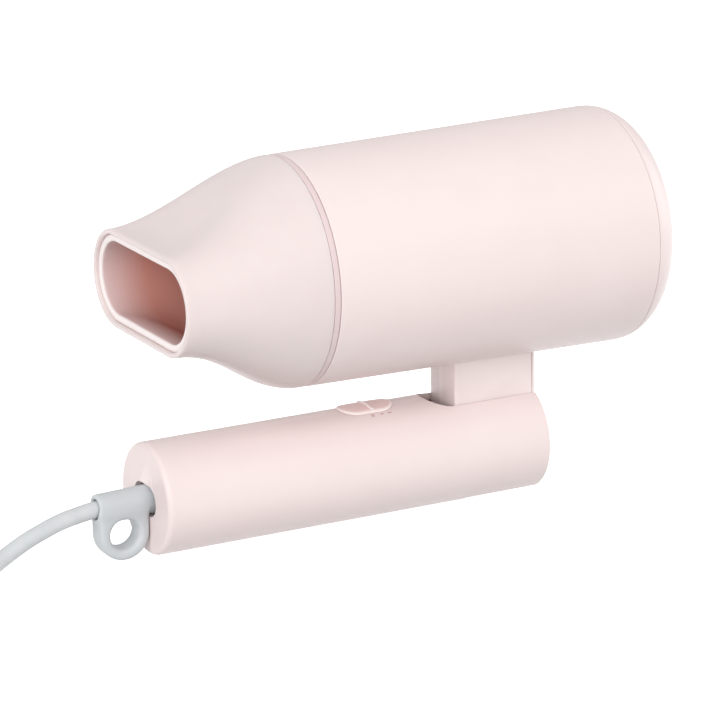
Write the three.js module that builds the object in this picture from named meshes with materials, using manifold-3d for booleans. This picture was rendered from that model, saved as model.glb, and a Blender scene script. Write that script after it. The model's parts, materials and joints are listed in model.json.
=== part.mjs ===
// A folding travel hair dryer: a barrel with an oval concentrator nozzle, a round handle that folds
// under the barrel on a knuckle hinge, and a mains cord with a hanging loop, a coil and a plug.
// Millimetres, +Z up. The dryer is folded and lies on its handle. -X is the way the air blows.
import * as THREE from 'three';
import { mergeVertices } from 'three/addons/utils/BufferGeometryUtils.js';
import Module from 'manifold-3d';

const wasm = await Module();
wasm.setup();

// ---- Driving dimensions ----
const GAP = 0.3; // clearance between neighbouring pieces
const WALL = 1.8; // housing wall

// The barrel's own frame has x = 0 at the seam between nozzle and barrel, on the barrel's axis.
const BARREL_FRONT_R = 32.56;
const BARREL_REAR_R = 34;
const BARREL_END = 110.5;
const REAR_SEAM = 102.1;
const REAR_ROUNDING = 9.95;
const COLLAR_END = 1.6;
const INLET_R = 22.6;

// The nozzle's outline is a stadium at every station: half width W along Y, half height H along Z.
const MOUTH_X = -43.3;
const MOUTH_W = 30.6;
const MOUTH_H = 14;
const LINER_MOUTH_X = -42.4;
const LINER_MOUTH_W = 27;
const LINER_MOUTH_H = 10.4;
const LINER_BASE_X = -5.8;
const LINER_BASE_R = 28.3;
const LINER_WALL = 1.3;
const NOZZLE_WALL = 1.5;
const NOZZLE_EASE = 0.93; // below 1 pulls the taper towards the barrel

// The handle's own frame has its origin at the hinge pivot, on the handle's axis.
const HANDLE_R = 15.88;
const AXIS_DROP = 58.94; // from the barrel's axis down to the handle's axis when folded
const PIVOT_X = 60.95; // from the nozzle seam back to the pivot
const HANDLE_FRONT = -104.47;
const HANDLE_FILLET = 1.7;
const HANDLE_BORE_R = HANDLE_R - WALL;
const SLOT_HALF = 7.6;
const SLOT_FRONT = -10.2; // centre of the slot's round end

const NECK_HALF = SLOT_HALF - GAP;
const NECK_FRONT = -10.55;
const NECK_BACK = 15.65;
const NECK_COVER = 0.9;
const KNUCKLE_R = 15.4;
const PIN_R = 2.5;
const PIN_HALF = 11;

// The slide switch's button, on top of the handle.
const PAD_X = -36.05;
const PAD_LENGTH = 16.6;
const PAD_WIDTH = 10.2;
const PAD_RISE = 0.8;
const SWITCH_TRAVEL = 5.2;

// The cord's exit and its hanging loop, in the handle's frame.
const LOOP_FACE = -119.55;
const LOOP_HALF_THICK = 3.4;
const LOOP_R = 7.5;
const LOOP_X = -112.05;
const LOOP_Z = -8.2;
const LOOP_HOLE_R = 4.5;
const TUBE_FACE_R = 3.7;
const TUBE_WALL_R = 4.2;

// The air mover and the heater, in the barrel's frame.
const MOTOR_R = 11.6;
const MOTOR_FRONT = 54;
const MOTOR_BACK = 75;
const SHAFT_R = 1.1;
const BUSH_R = 2.7;
const DUCT_R = 27.3;
const HEATER_R = 25.2;
const HEATER_FRONT = 12;
const HEATER_BACK = 48;
const COIL_WIRE_R = 22.4;

// The mains cord: the visible run, a flat coil of two layers, and the plug.
const CORD_R = 2.4;
const CORD_REST = CORD_R + 0.1; // height of the cord's centre on the table
const COIL_X = -173;
const COIL_Y = 12;
const COIL_OUTER = 41;
const COIL_INNER = 16.8;
const COIL_HEIGHT = 9.9;
const PLUG_X = -212.5;
const PLUG_Y = -22;
const PLUG_Z = 7.6;

// The whole part's frame: origin under the middle of the dryer, cord left out.
const SEAM_X = -(BARREL_END + PIVOT_X + LOOP_FACE) / 2;
const BARREL_Z = AXIS_DROP + HANDLE_R;

// ---- Materials ----
function finish(color, roughness, metalness = 0) {
  return () => new THREE.MeshStandardMaterial({ color, roughness, metalness });
}
const pinkShell = finish(0xefd9d6, 0.45);
const frostedShell = finish(0xe9dedb, 0.4);
const rosePlastic = finish(0xd9a5a0, 0.5);
const greyRubber = finish(0xc9cccd, 0.6);
const heatPlastic = finish(0x3a3634, 0.6);
const mica = finish(0xb9a88c, 0.7);
const steel = finish(0x9a9c9e, 0.35, 1);
const brass = finish(0xb59a55, 0.35, 1);
const nickelWire = finish(0x8b8078, 0.4, 1);
const circuitGreen = finish(0x2f6b4a, 0.55);
const ferrite = finish(0x2d2d30, 0.6);
const gauze = finish(0x4a4a4c, 0.6, 0.5);
const fanPlastic = finish(0x2a2a2c, 0.5);

// ---- Shape helpers ----
/** A closed BufferGeometry as a solid that can be cut and joined. */
function solid(geometry) {
  const bare = geometry.clone();
  bare.deleteAttribute('normal');
  bare.deleteAttribute('uv');
  const merged = mergeVertices(bare, 1e-4);
  return new wasm.Manifold(new wasm.Mesh({
    numProp: 3,
    vertProperties: Float32Array.from(merged.attributes.position.array),
    triVerts: Uint32Array.from(merged.index.array),
  }));
}

/** A solid turned back into a BufferGeometry. */
function geometryOf(manifold) {
  const mesh = manifold.getMesh();
  const geometry = new THREE.BufferGeometry();
  geometry.setAttribute('position', new THREE.BufferAttribute(mesh.vertProperties, 3));
  geometry.setIndex(new THREE.BufferAttribute(mesh.triVerts, 1));
  geometry.computeVertexNormals();
  return geometry;
}

function join(...pieces) {
  return pieces.map(solid).reduce((whole, piece) => whole.add(piece));
}

function box(x0, x1, y0, y1, z0, z1) {
  return new THREE.BoxGeometry(x1 - x0, y1 - y0, z1 - z0)
    .translate((x0 + x1) / 2, (y0 + y1) / 2, (z0 + z1) / 2);
}

/**
 * A turned piece on the X axis. The outline is [radius, x] pairs, closed on itself or on the axis,
 * and its flats, not its corners, lie at the stated radius.
 */
function turnedX(outline, segments = 36) {
  const points = outline.map(([r, x]) => new THREE.Vector2(r / Math.cos(Math.PI / segments), x));
  if (outline[0][0] > 0) points.push(points[0].clone());
  if (THREE.ShapeUtils.area(points) < 0) points.reverse();
  return new THREE.LatheGeometry(points, segments, Math.PI / segments)
    .rotateZ(-Math.PI / 2);
}

function ringX(inner, outer, x0, x1, segments = 36) {
  return turnedX([[inner, x0], [outer, x0], [outer, x1], [inner, x1]], segments);
}

function rodX(r, x0, x1, segments = 24) {
  return turnedX([[0, x0], [r, x0], [r, x1], [0, x1]], segments);
}

function rodY(r, y0, y1, segments = 32) {
  return rodX(r, y0, y1, segments).rotateZ(Math.PI / 2);
}

function rodZ(r, z0, z1, segments = 20) {
  return rodX(r, z0, z1, segments).rotateY(-Math.PI / 2);
}

/** An arc of the given centre and radius as [a, b] pairs, from angle a0 to a1 in degrees. */
function arc(ca, cb, radius, a0, a1, steps) {
  return Array.from({ length: steps + 1 }, (_, i) => {
    const angle = THREE.MathUtils.degToRad(a0 + ((a1 - a0) * i) / steps);
    return [ca + radius * Math.cos(angle), cb + radius * Math.sin(angle)];
  });
}

/** A flat outline of [a, b] pairs as a Shape. */
function shapeOf(outline, holes = []) {
  const shape = new THREE.Shape(outline.map(([a, b]) => new THREE.Vector2(a, b)));
  shape.holes = holes.map((hole) => new THREE.Path(hole.map(([a, b]) => new THREE.Vector2(a, b))));
  return shape;
}

/** An outline in the XY plane, extruded upwards. */
function slabZ(outline, z0, z1, holes = []) {
  return new THREE.ExtrudeGeometry(shapeOf(outline, holes), { depth: z1 - z0, bevelEnabled: false })
    .translate(0, 0, z0);
}

/** An outline in the XZ plane, extruded along Y. */
function slabY(outline, y0, y1, holes = []) {
  return slabZ(outline, -y1, -y0, holes).rotateX(Math.PI / 2);
}

/** An outline in the YZ plane, extruded along X. */
function slabX(outline, x0, x1, holes = []) {
  return slabZ(outline, x0, x1, holes).rotateX(Math.PI / 2).rotateZ(Math.PI / 2);
}

/** A stadium of half length a and half width b, its long axis along the first axis. */
function stadium(a, b, ca = 0, cb = 0, steps = 10) {
  return [...arc(ca + a - b, cb, b, -90, 90, steps), ...arc(ca - a + b, cb, b, 90, 270, steps)];
}

/** A closed tube through rings of points, where the last ring joins the first. */
function ringTube(rings) {
  const around = rings[0].length;
  const positions = rings.flatMap((ring) => ring.flatMap((point) => point.toArray()));
  const index = [];
  rings.forEach((_, i) => {
    const next = (i + 1) % rings.length;
    for (let j = 0; j < around; j += 1) {
      const k = (j + 1) % around;
      const [a, b, c, d] = [i * around + j, i * around + k, next * around + k, next * around + j];
      index.push(a, c, b, a, d, c);
    }
  });
  const geometry = new THREE.BufferGeometry();
  geometry.setAttribute('position', new THREE.Float32BufferAttribute(positions, 3));
  geometry.setIndex(index);
  geometry.computeVertexNormals();
  return geometry;
}

/** A round tube along a smooth curve through the points, with flat ends. */
function tubeAlong(points, radius, sides, steps) {
  const path = new THREE.CatmullRomCurve3(points.map((p) => new THREE.Vector3(...p)));
  const section = shapeOf(arc(0, 0, radius, 0, 360 - 360 / sides, sides - 1));
  return new THREE.ExtrudeGeometry(section, { steps, extrudePath: path, bevelEnabled: false });
}

function piece(name, geometry, material) {
  const mesh = new THREE.Mesh(geometry, material());
  mesh.name = name;
  return mesh;
}

// ---- Nozzle ----
const NOZZLE_POINTS = 32;

/** How much of the round base is left at x: 1 at the barrel, 0 at the mouth. */
function taper(x) {
  return 0.5 * (1 + Math.cos(Math.PI * Math.abs(x / MOUTH_X) ** NOZZLE_EASE));
}

/** One stadium ring across the nozzle. */
function nozzleRing(x, halfWidth, halfHeight) {
  return Array.from({ length: NOZZLE_POINTS }, (_, i) => {
    const angle = (2 * Math.PI * (i + 0.5)) / NOZZLE_POINTS;
    const side = Math.sign(Math.cos(angle)) * Math.max(halfWidth - halfHeight, 0);
    return new THREE.Vector3(x, side + halfHeight * Math.cos(angle), halfHeight * Math.sin(angle));
  });
}

function nozzleShell() {
  const ring = (x, inset) => nozzleRing(
    x,
    MOUTH_W + (BARREL_FRONT_R - MOUTH_W) * taper(x) - inset,
    MOUTH_H + (BARREL_FRONT_R - MOUTH_H) * taper(x) - inset,
  );
  const stations = Array.from({ length: 9 }, (_, i) => -GAP + ((MOUTH_X + GAP) * i) / 8);
  const outside = stations.map((x) => ring(x, 0));
  const inside = stations.toReversed().map((x) => ring(x, NOZZLE_WALL));
  return ringTube([...outside, ...inside]);
}

function nozzleLiner() {
  const base = taper(LINER_BASE_X);
  const ring = (x, wall) => {
    const left = (taper(x) - taper(LINER_MOUTH_X)) / (base - taper(LINER_MOUTH_X));
    return nozzleRing(
      x,
      LINER_MOUTH_W + (LINER_BASE_R - LINER_MOUTH_W) * left + wall,
      LINER_MOUTH_H + (LINER_BASE_R - LINER_MOUTH_H) * left + wall,
    );
  };
  const sleeve = (x, r) => nozzleRing(x, r, r);
  const stations = Array.from(
    { length: 8 },
    (_, i) => LINER_BASE_X + ((LINER_MOUTH_X - LINER_BASE_X) * i) / 7,
  );
  const outside = stations.map((x) => ring(x, x === LINER_BASE_X ? LINER_WALL - GAP : LINER_WALL));
  const inside = stations.toReversed().map((x) => ring(x, 0));
  const start = -2 * GAP;
  return ringTube([
    sleeve(start, LINER_BASE_R + 1),
    ...outside,
    ...inside,
    sleeve(start, LINER_BASE_R),
  ]);
}

function nozzlePieces() {
  return [
    piece('nozzle_shell', nozzleShell(), frostedShell),
    piece('nozzle_liner', nozzleLiner(), rosePlastic),
    piece('nozzle_snap_ring', ringX(26.7, 28, -3.5, -2.5, 28), steel),
  ];
}

// ---- Barrel housing ----
function barrelRadius(x) {
  return BARREL_FRONT_R + ((BARREL_REAR_R - BARREL_FRONT_R) * x) / (BARREL_END - REAR_ROUNDING);
}

/** The rounded rear edge's outline, inset inwards, as [radius, x] pairs. */
function rearEdge(inset, fromX, steps) {
  const radius = REAR_ROUNDING - inset;
  const start = Math.asin((fromX - (BARREL_END - REAR_ROUNDING)) / radius);
  return arc(
    BARREL_REAR_R - REAR_ROUNDING,
    BARREL_END - REAR_ROUNDING,
    radius,
    THREE.MathUtils.radToDeg(start),
    90,
    steps,
  );
}

function barrelShell() {
  const front = COLLAR_END + 0.4;
  const back = REAR_SEAM - 0.2;
  const tangent = BARREL_END - REAR_ROUNDING;
  const edge = rearEdge(0, back, 1)[0][0];
  const tube = turnedX([
    [barrelRadius(front), front],
    [BARREL_REAR_R, tangent],
    [edge, back],
    [edge - WALL, back],
    [BARREL_REAR_R - WALL, tangent],
    [barrelRadius(front) - WALL, front],
  ]);
  const neckHole = box(53.6, 73.4, -5.4, 5.4, -40, -25);
  return geometryOf(solid(tube).subtract(solid(neckHole)));
}

function frontCollar() {
  return turnedX([
    [27.4, -5],
    [27.4, -3.8],
    [26.4, -3.8],
    [26.4, -2.2],
    [27.4, -2.2],
    [27.4, 0.1],
    [BARREL_FRONT_R, 0.1],
    [BARREL_FRONT_R, COLLAR_END],
    [30.3, COLLAR_END],
    [30.3, 9],
    [28.8, 9],
    [25.4, COLLAR_END],
    [25.4, -5],
  ]);
}

function rearCover() {
  const start = REAR_SEAM + 0.2;
  return turnedX([
    ...rearEdge(0, start, 5),
    [INLET_R, BARREL_END],
    [INLET_R, BARREL_END - WALL],
    ...rearEdge(WALL, 105.9, 2).reverse(),
    [30.2, 98],
    [31.6, 98],
    [31.6, start],
  ]);
}

/** A disc with rings of curved slots, for the air to pass. */
function slottedDisc(radius, rings, sectors, x0, x1) {
  const slots = rings.flatMap(([inner, outer]) => Array.from({ length: sectors }, (_, i) => {
    const middle = (360 * (i + 0.5)) / sectors;
    const half = 180 / sectors - THREE.MathUtils.radToDeg(0.9 / inner);
    return [
      ...arc(0, 0, outer, middle - half, middle + half, 3),
      ...arc(0, 0, inner, middle + half, middle - half, 2),
    ];
  }));
  return slabX(arc(0, 0, radius, 0, 350, 35), x0, x1, slots);
}

function barrelHousing() {
  return [
    piece('barrel_shell', barrelShell(), pinkShell),
    piece('front_collar', frontCollar(), pinkShell),
    piece('outlet_grille', slottedDisc(25.1, [[6, 11.5], [13.5, 22.5]], 6, -1, 0.8), heatPlastic),
    piece('rear_cover', rearCover(), pinkShell),
    piece(
      'inlet_grille',
      slottedDisc(INLET_R - GAP, [[5, 9], [10.8, 14.8], [16.6, 20.6]], 8, 108, 109.9),
      pinkShell,
    ),
    piece('inlet_filter', rodX(INLET_R - GAP, 106.7, 107.6, 28), gauze),
  ];
}

// ---- Heater ----
/** A mica board along X with a half-length slot for the board that crosses it. */
function heaterBoard(slotAtFront) {
  const half = 20.8;
  const middle = (HEATER_FRONT + HEATER_BACK) / 2;
  const slot = 0.75;
  const outline = slotAtFront
    ? [[HEATER_FRONT, slot], [middle + GAP, slot], [middle + GAP, -slot], [HEATER_FRONT, -slot],
      [HEATER_FRONT, -half], [HEATER_BACK, -half], [HEATER_BACK, half], [HEATER_FRONT, half]]
    : [[HEATER_BACK, -slot], [middle - GAP, -slot], [middle - GAP, slot], [HEATER_BACK, slot],
      [HEATER_BACK, half], [HEATER_FRONT, half], [HEATER_FRONT, -half], [HEATER_BACK, -half]];
  return slabZ(outline, -0.4, 0.4);
}

/** The resistance wire, wound as a helix round the crossed boards. */
function heatingCoil() {
  const turns = 7;
  const perTurn = 12;
  const points = Array.from({ length: turns * perTurn + 1 }, (_, i) => {
    const angle = (2 * Math.PI * i) / perTurn;
    const x = 15 + (30 * i) / (turns * perTurn);
    return [x, COIL_WIRE_R * Math.cos(angle), COIL_WIRE_R * Math.sin(angle)];
  });
  return tubeAlong(points, 0.6, 5, turns * perTurn);
}

function heaterPieces() {
  return [
    piece('heater_tube', ringX(HEATER_R - 0.8, HEATER_R, 11, 49, 32), mica),
    piece('heater_board_flat', heaterBoard(true), mica),
    piece('heater_board_upright', heaterBoard(false).rotateX(Math.PI / 2), mica),
    piece('heating_coil', heatingCoil(), nickelWire),
    piece('thermostat', rodZ(4.2, 0.7, 3.6, 20).translate(22, 10, 0), brass),
    piece('thermal_fuse', rodX(1.4, 28, 40, 16).translate(0, -10, 2.2), steel),
  ];
}

// ---- Fan and motor ----
function fanHousing() {
  const outer = ringX(DUCT_R - 1.2, DUCT_R, 52, 93, 36);
  const holder = ringX(MOTOR_R + 0.4, MOTOR_R + 1.8, MOTOR_FRONT, MOTOR_BACK + 1, 24);
  const vanes = Array.from({ length: 5 }, (_, i) => (
    box(56, 72, -0.7, 0.7, MOTOR_R + 1, DUCT_R - 0.6).rotateX((2 * Math.PI * (i + 0.5)) / 5)
  ));
  return geometryOf(join(outer, holder, ...vanes));
}

/** One fan blade, standing on the hub along Z, twisted from root to tip. */
function fanBlade() {
  const root = 7;
  const tip = 24.8;
  const blade = new THREE.BoxGeometry(11, 1.2, tip - root, 1, 1, 3).translate(0, 0, (tip + root) / 2);
  const place = blade.attributes.position;
  for (let i = 0; i < place.count; i += 1) {
    const pitch = THREE.MathUtils.degToRad(28 + 30 * ((place.getZ(i) - root) / (tip - root)));
    const [x, y] = [place.getX(i), place.getY(i)];
    const chord = 1 - 0.25 * ((place.getZ(i) - root) / (tip - root));
    place.setX(i, chord * x * Math.cos(pitch) - y * Math.sin(pitch));
    place.setY(i, chord * x * Math.sin(pitch) + y * Math.cos(pitch));
  }
  return blade;
}

function fanImpeller() {
  const hub = turnedX([
    [SHAFT_R + GAP, 79], [9, 79], [9, 88], [7.6, 90.5], [4, 92], [SHAFT_R + GAP, 92],
  ], 28);
  const blades = Array.from({ length: 9 }, (_, i) => (
    fanBlade().translate(84, 0, 0).rotateX((2 * Math.PI * i) / 9)
  ));
  const bore = rodX(SHAFT_R + GAP, 70, 100, 16);
  return geometryOf(join(hub, ...blades).subtract(solid(bore)));
}

function motorCan() {
  const wall = 1;
  return turnedX([
    [BUSH_R + GAP, MOTOR_FRONT],
    [MOTOR_R, MOTOR_FRONT],
    [MOTOR_R, MOTOR_BACK],
    [MOTOR_R - wall, MOTOR_BACK],
    [MOTOR_R - wall, MOTOR_FRONT + wall],
    [BUSH_R + GAP, MOTOR_FRONT + wall],
  ], 24);
}

/** A curved ferrite magnet inside the motor's can, on the side that sign gives. */
function motorMagnet(sign) {
  const middle = sign > 0 ? 0 : 180;
  const outline = [
    ...arc(0, 0, 10.2, middle - 65, middle + 65, 10),
    ...arc(0, 0, 8.2, middle + 65, middle - 65, 10),
  ];
  return slabX(outline, 57, 73);
}

/** The armature's stack of sheets: poles with winding slots between them, round a bore. */
function armature() {
  const poles = 5;
  const outline = Array.from({ length: poles }, (_, i) => {
    const middle = (360 * i) / poles;
    return [
      ...arc(0, 0, 7.6, middle - 28, middle + 28, 4),
      ...arc(0, 0, 4.6, middle + 33, middle + 39, 1),
    ];
  }).flat();
  const bore = arc(0, 0, SHAFT_R + GAP, 0, 330, 11);
  return slabX(outline, 57.5, 72.5, [bore]);
}

function rectifierBoard() {
  const board = ringX(2.2, 11, 51.4, 52.6, 28);
  const diodes = [0, 1, 2, 3].map((i) => (
    box(49.4, 51.6, -1.6, 1.6, 4.4, 8.6).rotateX((Math.PI * (i + 0.5)) / 2)
  ));
  return geometryOf(join(board, ...diodes));
}

function fanAndMotor() {
  return [
    piece('fan_housing', fanHousing(), heatPlastic),
    piece('motor_can', motorCan(), steel),
    piece('motor_end_cap', ringX(BUSH_R + GAP, MOTOR_R, MOTOR_BACK + GAP, MOTOR_BACK + 1.4, 24), steel),
    piece('motor_bush_front', ringX(SHAFT_R + GAP, BUSH_R, MOTOR_FRONT, MOTOR_FRONT + 2, 16), brass),
    piece('motor_bush_rear', ringX(SHAFT_R + GAP, BUSH_R, MOTOR_BACK - 0.2, MOTOR_BACK + 1.8, 16), brass),
    piece('motor_magnet_left', motorMagnet(1), ferrite),
    piece('motor_magnet_right', motorMagnet(-1), ferrite),
    piece('rectifier_board', rectifierBoard(), circuitGreen),
    piece('fan_impeller', fanImpeller(), fanPlastic),
    piece('motor_shaft', rodX(SHAFT_R, 53.2, 91.6, 14), steel),
    piece('motor_armature', armature(), steel),
  ];
}

// ---- Neck, in the barrel's frame ----
const NECK_SCREWS = [58, 69];
const SCREW_HOLE_R = 1.8;

/** The barrel's slightly conical outside, which the neck's saddle fits under. */
function barrelSaddle() {
  const ends = [40, 90].map((x) => [barrelRadius(x) + GAP, x]);
  return solid(turnedX([[0, 40], ...ends, [0, 90]], 96));
}

function neck() {
  const [front, back] = [PIVOT_X + NECK_FRONT, PIVOT_X + NECK_BACK - NECK_COVER - GAP];
  const bulge = 0.5;
  const washerSeatR = 5.1;
  const ductR = 1.6; // the wires' way: down the column, then out of the knuckle into the handle
  const [ductX, ductY, ductZ] = [PIVOT_X + 5.5, 3.2, -AXIS_DROP - 8];
  const plan = [
    [front, NECK_HALF], [front - bulge * 0.75, NECK_HALF / 2], [front - bulge, 0],
    [front - bulge * 0.75, -NECK_HALF / 2], [front, -NECK_HALF],
    [back, -NECK_HALF], [back, NECK_HALF],
  ];
  const column = solid(slabZ(plan, -AXIS_DROP, -25)).subtract(barrelSaddle());
  const knuckle = turnedX([
    [0, -NECK_HALF],
    ...[-1, -0.4, 0.4, 1].map((s) => {
      const y = s * NECK_HALF;
      return [Math.sqrt(KNUCKLE_R ** 2 - y ** 2), y];
    }),
    [0, NECK_HALF],
  ], 36).rotateZ(Math.PI / 2).translate(PIVOT_X, 0, -AXIS_DROP);
  const spigot = box(54, 73, -5, 5, -40, -31.4);
  const cuts = [
    box(back, back + 10, -20, 20, -AXIS_DROP + 0.5 - GAP, 0),
    rodY(PIN_R + GAP, -20, 20).translate(PIVOT_X, 0, -AXIS_DROP),
    ...[-1, 1].map((side) => (
      rodY(washerSeatR, NECK_HALF - 1, NECK_HALF + 5)
        .rotateZ(side < 0 ? Math.PI : 0)
        .translate(PIVOT_X, 0, -AXIS_DROP)
    )),
    ...NECK_SCREWS.map((x) => rodZ(SCREW_HOLE_R, -41, -20).translate(x, 0, 0)),
    rodZ(ductR, ductZ, -20).translate(ductX, ductY, 0),
    rodX(ductR, PIVOT_X - 20, ductX + 0.5).translate(0, ductY, ductZ),
  ].map(solid);
  const body = column.add(solid(spigot)).add(solid(knuckle));
  return geometryOf(cuts.reduce((left, cut) => left.subtract(cut), body));
}

function neckRearCover() {
  const [front, back] = [PIVOT_X + NECK_BACK - NECK_COVER, PIVOT_X + NECK_BACK];
  const plate = box(front, back, -NECK_HALF, NECK_HALF, -AXIS_DROP + 0.5, -25);
  return geometryOf(solid(plate).subtract(barrelSaddle()));
}

/** The saddle inside the barrel that the neck's screws pull against. */
function neckClampPlate() {
  const band = solid(ringX(29.6, 31.1, 51.5, 75.5)).intersect(solid(box(51, 76, -9, 9, -35, -25)));
  const holes = NECK_SCREWS.map((x) => solid(rodZ(SCREW_HOLE_R, -35, -20).translate(x, 0, 0)));
  return geometryOf(holes.reduce((left, hole) => left.subtract(hole), band));
}

/** A pan-head screw on the Z axis, its head's underside at z = 0 and its shank below. */
function screw(shankR, length, headR, headHeight) {
  return turnedX([
    [0, -length], [shankR * 0.6, -length], [shankR, -length + 1], [shankR, 0],
    [headR, 0], [headR, headHeight * 0.6], [headR * 0.7, headHeight], [0, headHeight],
  ], 12).rotateY(-Math.PI / 2);
}

function neckPieces() {
  return [
    piece('neck', neck(), pinkShell),
    piece('neck_rear_cover', neckRearCover(), pinkShell),
    piece('neck_clamp_plate', neckClampPlate(), steel),
    ...NECK_SCREWS.map((x, i) => {
      const fastener = piece(`neck_screw_${i + 1}`, screw(1.5, 10.5, 2.7, 1.3), steel);
      fastener.position.set(x, 0, -29.3);
      return fastener;
    }),
  ];
}

// ---- Handle, in the handle's frame ----
function handleShell() {
  const tube = solid(turnedX([
    [0, HANDLE_FRONT],
    ...arc(HANDLE_R - HANDLE_FILLET, HANDLE_FRONT + HANDLE_FILLET, HANDLE_FILLET, -90, 0, 3),
    [HANDLE_R, HANDLE_R],
    [HANDLE_BORE_R, HANDLE_R],
    [HANDLE_BORE_R, HANDLE_FRONT + WALL],
    [0, HANDLE_FRONT + WALL],
  ]));
  const topSlot = slabZ([
    ...arc(SLOT_FRONT, 0, SLOT_HALF, 90, 270, 12), [20, -SLOT_HALF], [20, SLOT_HALF],
  ], 0, 20);
  const endSlot = box(-SLOT_HALF, 20, -SLOT_HALF, SLOT_HALF, -20, 5);
  const switchSlot = box(PAD_X - 2.9, PAD_X + SWITCH_TRAVEL + 2.9, -1.8, 1.8, 10, 20);
  const cordHole = slabX(stadium(8.5, 5.5), HANDLE_FRONT - 5, HANDLE_FRONT + 5);
  const cuts = [topSlot, endSlot, switchSlot, cordHole].map(solid);
  return geometryOf(cuts.reduce((left, cut) => left.subtract(cut), tube));
}

/** The solid block beside the knuckle that holds the hinge pin, on the side that sign gives. */
function hingeCheek(sign) {
  const inner = SLOT_HALF + GAP;
  const block = solid(rodX(HANDLE_BORE_R - GAP, -16, HANDLE_R - 1, 40));
  const side = sign > 0 ? box(-30, 30, inner, 20, -20, 20) : box(-30, 30, -20, -inner, -20, 20);
  const bore = rodY(PIN_R + GAP, -PIN_HALF - GAP, PIN_HALF + GAP);
  return geometryOf(block.intersect(solid(side)).subtract(solid(bore)));
}

function waveWasher(sign) {
  const ring = turnedX([[3, 6.5], [4.8, 6.5], [4.8, 7.6], [3, 7.6]], 24).rotateZ(Math.PI / 2);
  return sign > 0 ? ring : ring.rotateZ(Math.PI);
}

/** The slide button: a stadium pad wrapped on the handle, a cross rib, and a stem to the switch. */
function sliderButton() {
  const under = HANDLE_R + GAP;
  const pad = solid(slabZ(stadium(PAD_LENGTH / 2, PAD_WIDTH / 2), 5, 25))
    .intersect(solid(ringX(under, HANDLE_R + PAD_RISE, -20, 20, 96)));
  const rib = solid(box(-0.5, 0.5, -3.9, 3.9, 5, 25))
    .intersect(solid(ringX(under, HANDLE_R + PAD_RISE + 0.5, -20, 20, 96)));
  const stem = solid(box(-2.5, 2.5, -1.4, 1.4, 8.2, HANDLE_R + PAD_RISE - 0.3));
  return geometryOf(pad.add(rib).add(stem));
}

/** The plate under the handle's wall that the button's stem snaps into. */
function sliderClip() {
  const hole = [[-2.9, -1.8], [-2.9, 1.8], [2.9, 1.8], [2.9, -1.8]];
  return slabZ([[-6, -5], [6, -5], [6, 5], [-6, 5]], 11.2, 12.5, [hole]);
}

function switchBody() {
  const body = solid(box(-7, 10.5, -4, 4, -1, 6.5));
  return geometryOf(body.subtract(solid(box(-2.3, SWITCH_TRAVEL + 2.3, -1.9, 1.9, 3.5, 10))));
}

const BOARD_SCREWS = [-58, -22.8];
const BOARD_TOP = -1.3;
const BOARD_UNDERSIDE = -2.6;

/** A solid with the board screws' holes bored down through it. */
function boredForBoardScrews(body) {
  const holes = BOARD_SCREWS.map((x) => solid(rodZ(1.2, -20, 10, 12).translate(x, 0, 0)));
  return geometryOf(holes.reduce((left, hole) => left.subtract(hole), body));
}

function handleChassis() {
  const tray = box(-98, -19.5, -8, 8, -9, -7.7);
  const posts = BOARD_SCREWS.map((x) => rodZ(2.4, -8, BOARD_UNDERSIDE - GAP, 16).translate(x, 0, 0));
  return boredForBoardScrews(join(tray, ...posts));
}

function switchBoard() {
  return boredForBoardScrews(solid(box(-61, -20.2, -7, 7, BOARD_UNDERSIDE, BOARD_TOP)));
}

const CLAMP_X = -94;
const CLAMP_TOP = 4.8;
const CLAMP_SCREWS = [-5.4, 5.4];

/** The bridge that clamps the cord's inner end down on the chassis. */
function cordClamp() {
  const [front, back] = [CLAMP_X - 3, CLAMP_X + 3];
  const bridge = box(front, back, -7.4, 7.4, 2.8, CLAMP_TOP);
  const legs = CLAMP_SCREWS.map((y) => box(front, back, y - 2, y + 2, -7.4, 3));
  const holes = CLAMP_SCREWS.map((y) => solid(rodZ(1.3, -20, 20, 12).translate(CLAMP_X, y, 0)));
  return geometryOf(holes.reduce((left, hole) => left.subtract(hole), join(bridge, ...legs)));
}

/** The moulded sleeve on the cord, with its hanging loop below and a flange inside the handle. */
function strainRelief() {
  const sleeve = turnedX([
    [0, LOOP_FACE], [TUBE_FACE_R, LOOP_FACE], [TUBE_WALL_R, HANDLE_FRONT + WALL + 1],
    [0, HANDLE_FRONT + WALL + 1],
  ], 32);
  const loop = slabY([
    ...arc(LOOP_X, LOOP_Z, LOOP_R, 180, 360, 16),
    [LOOP_X + LOOP_R, 0],
    [LOOP_X - LOOP_R, 0],
  ], -LOOP_HALF_THICK, LOOP_HALF_THICK, [arc(LOOP_X, LOOP_Z, LOOP_HOLE_R, 0, 345, 23)]);
  const inside = HANDLE_FRONT + WALL + GAP;
  const flange = box(inside, inside + 2.4, -10, 10, -7, 7);
  return geometryOf(join(sleeve, loop, flange));
}

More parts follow.
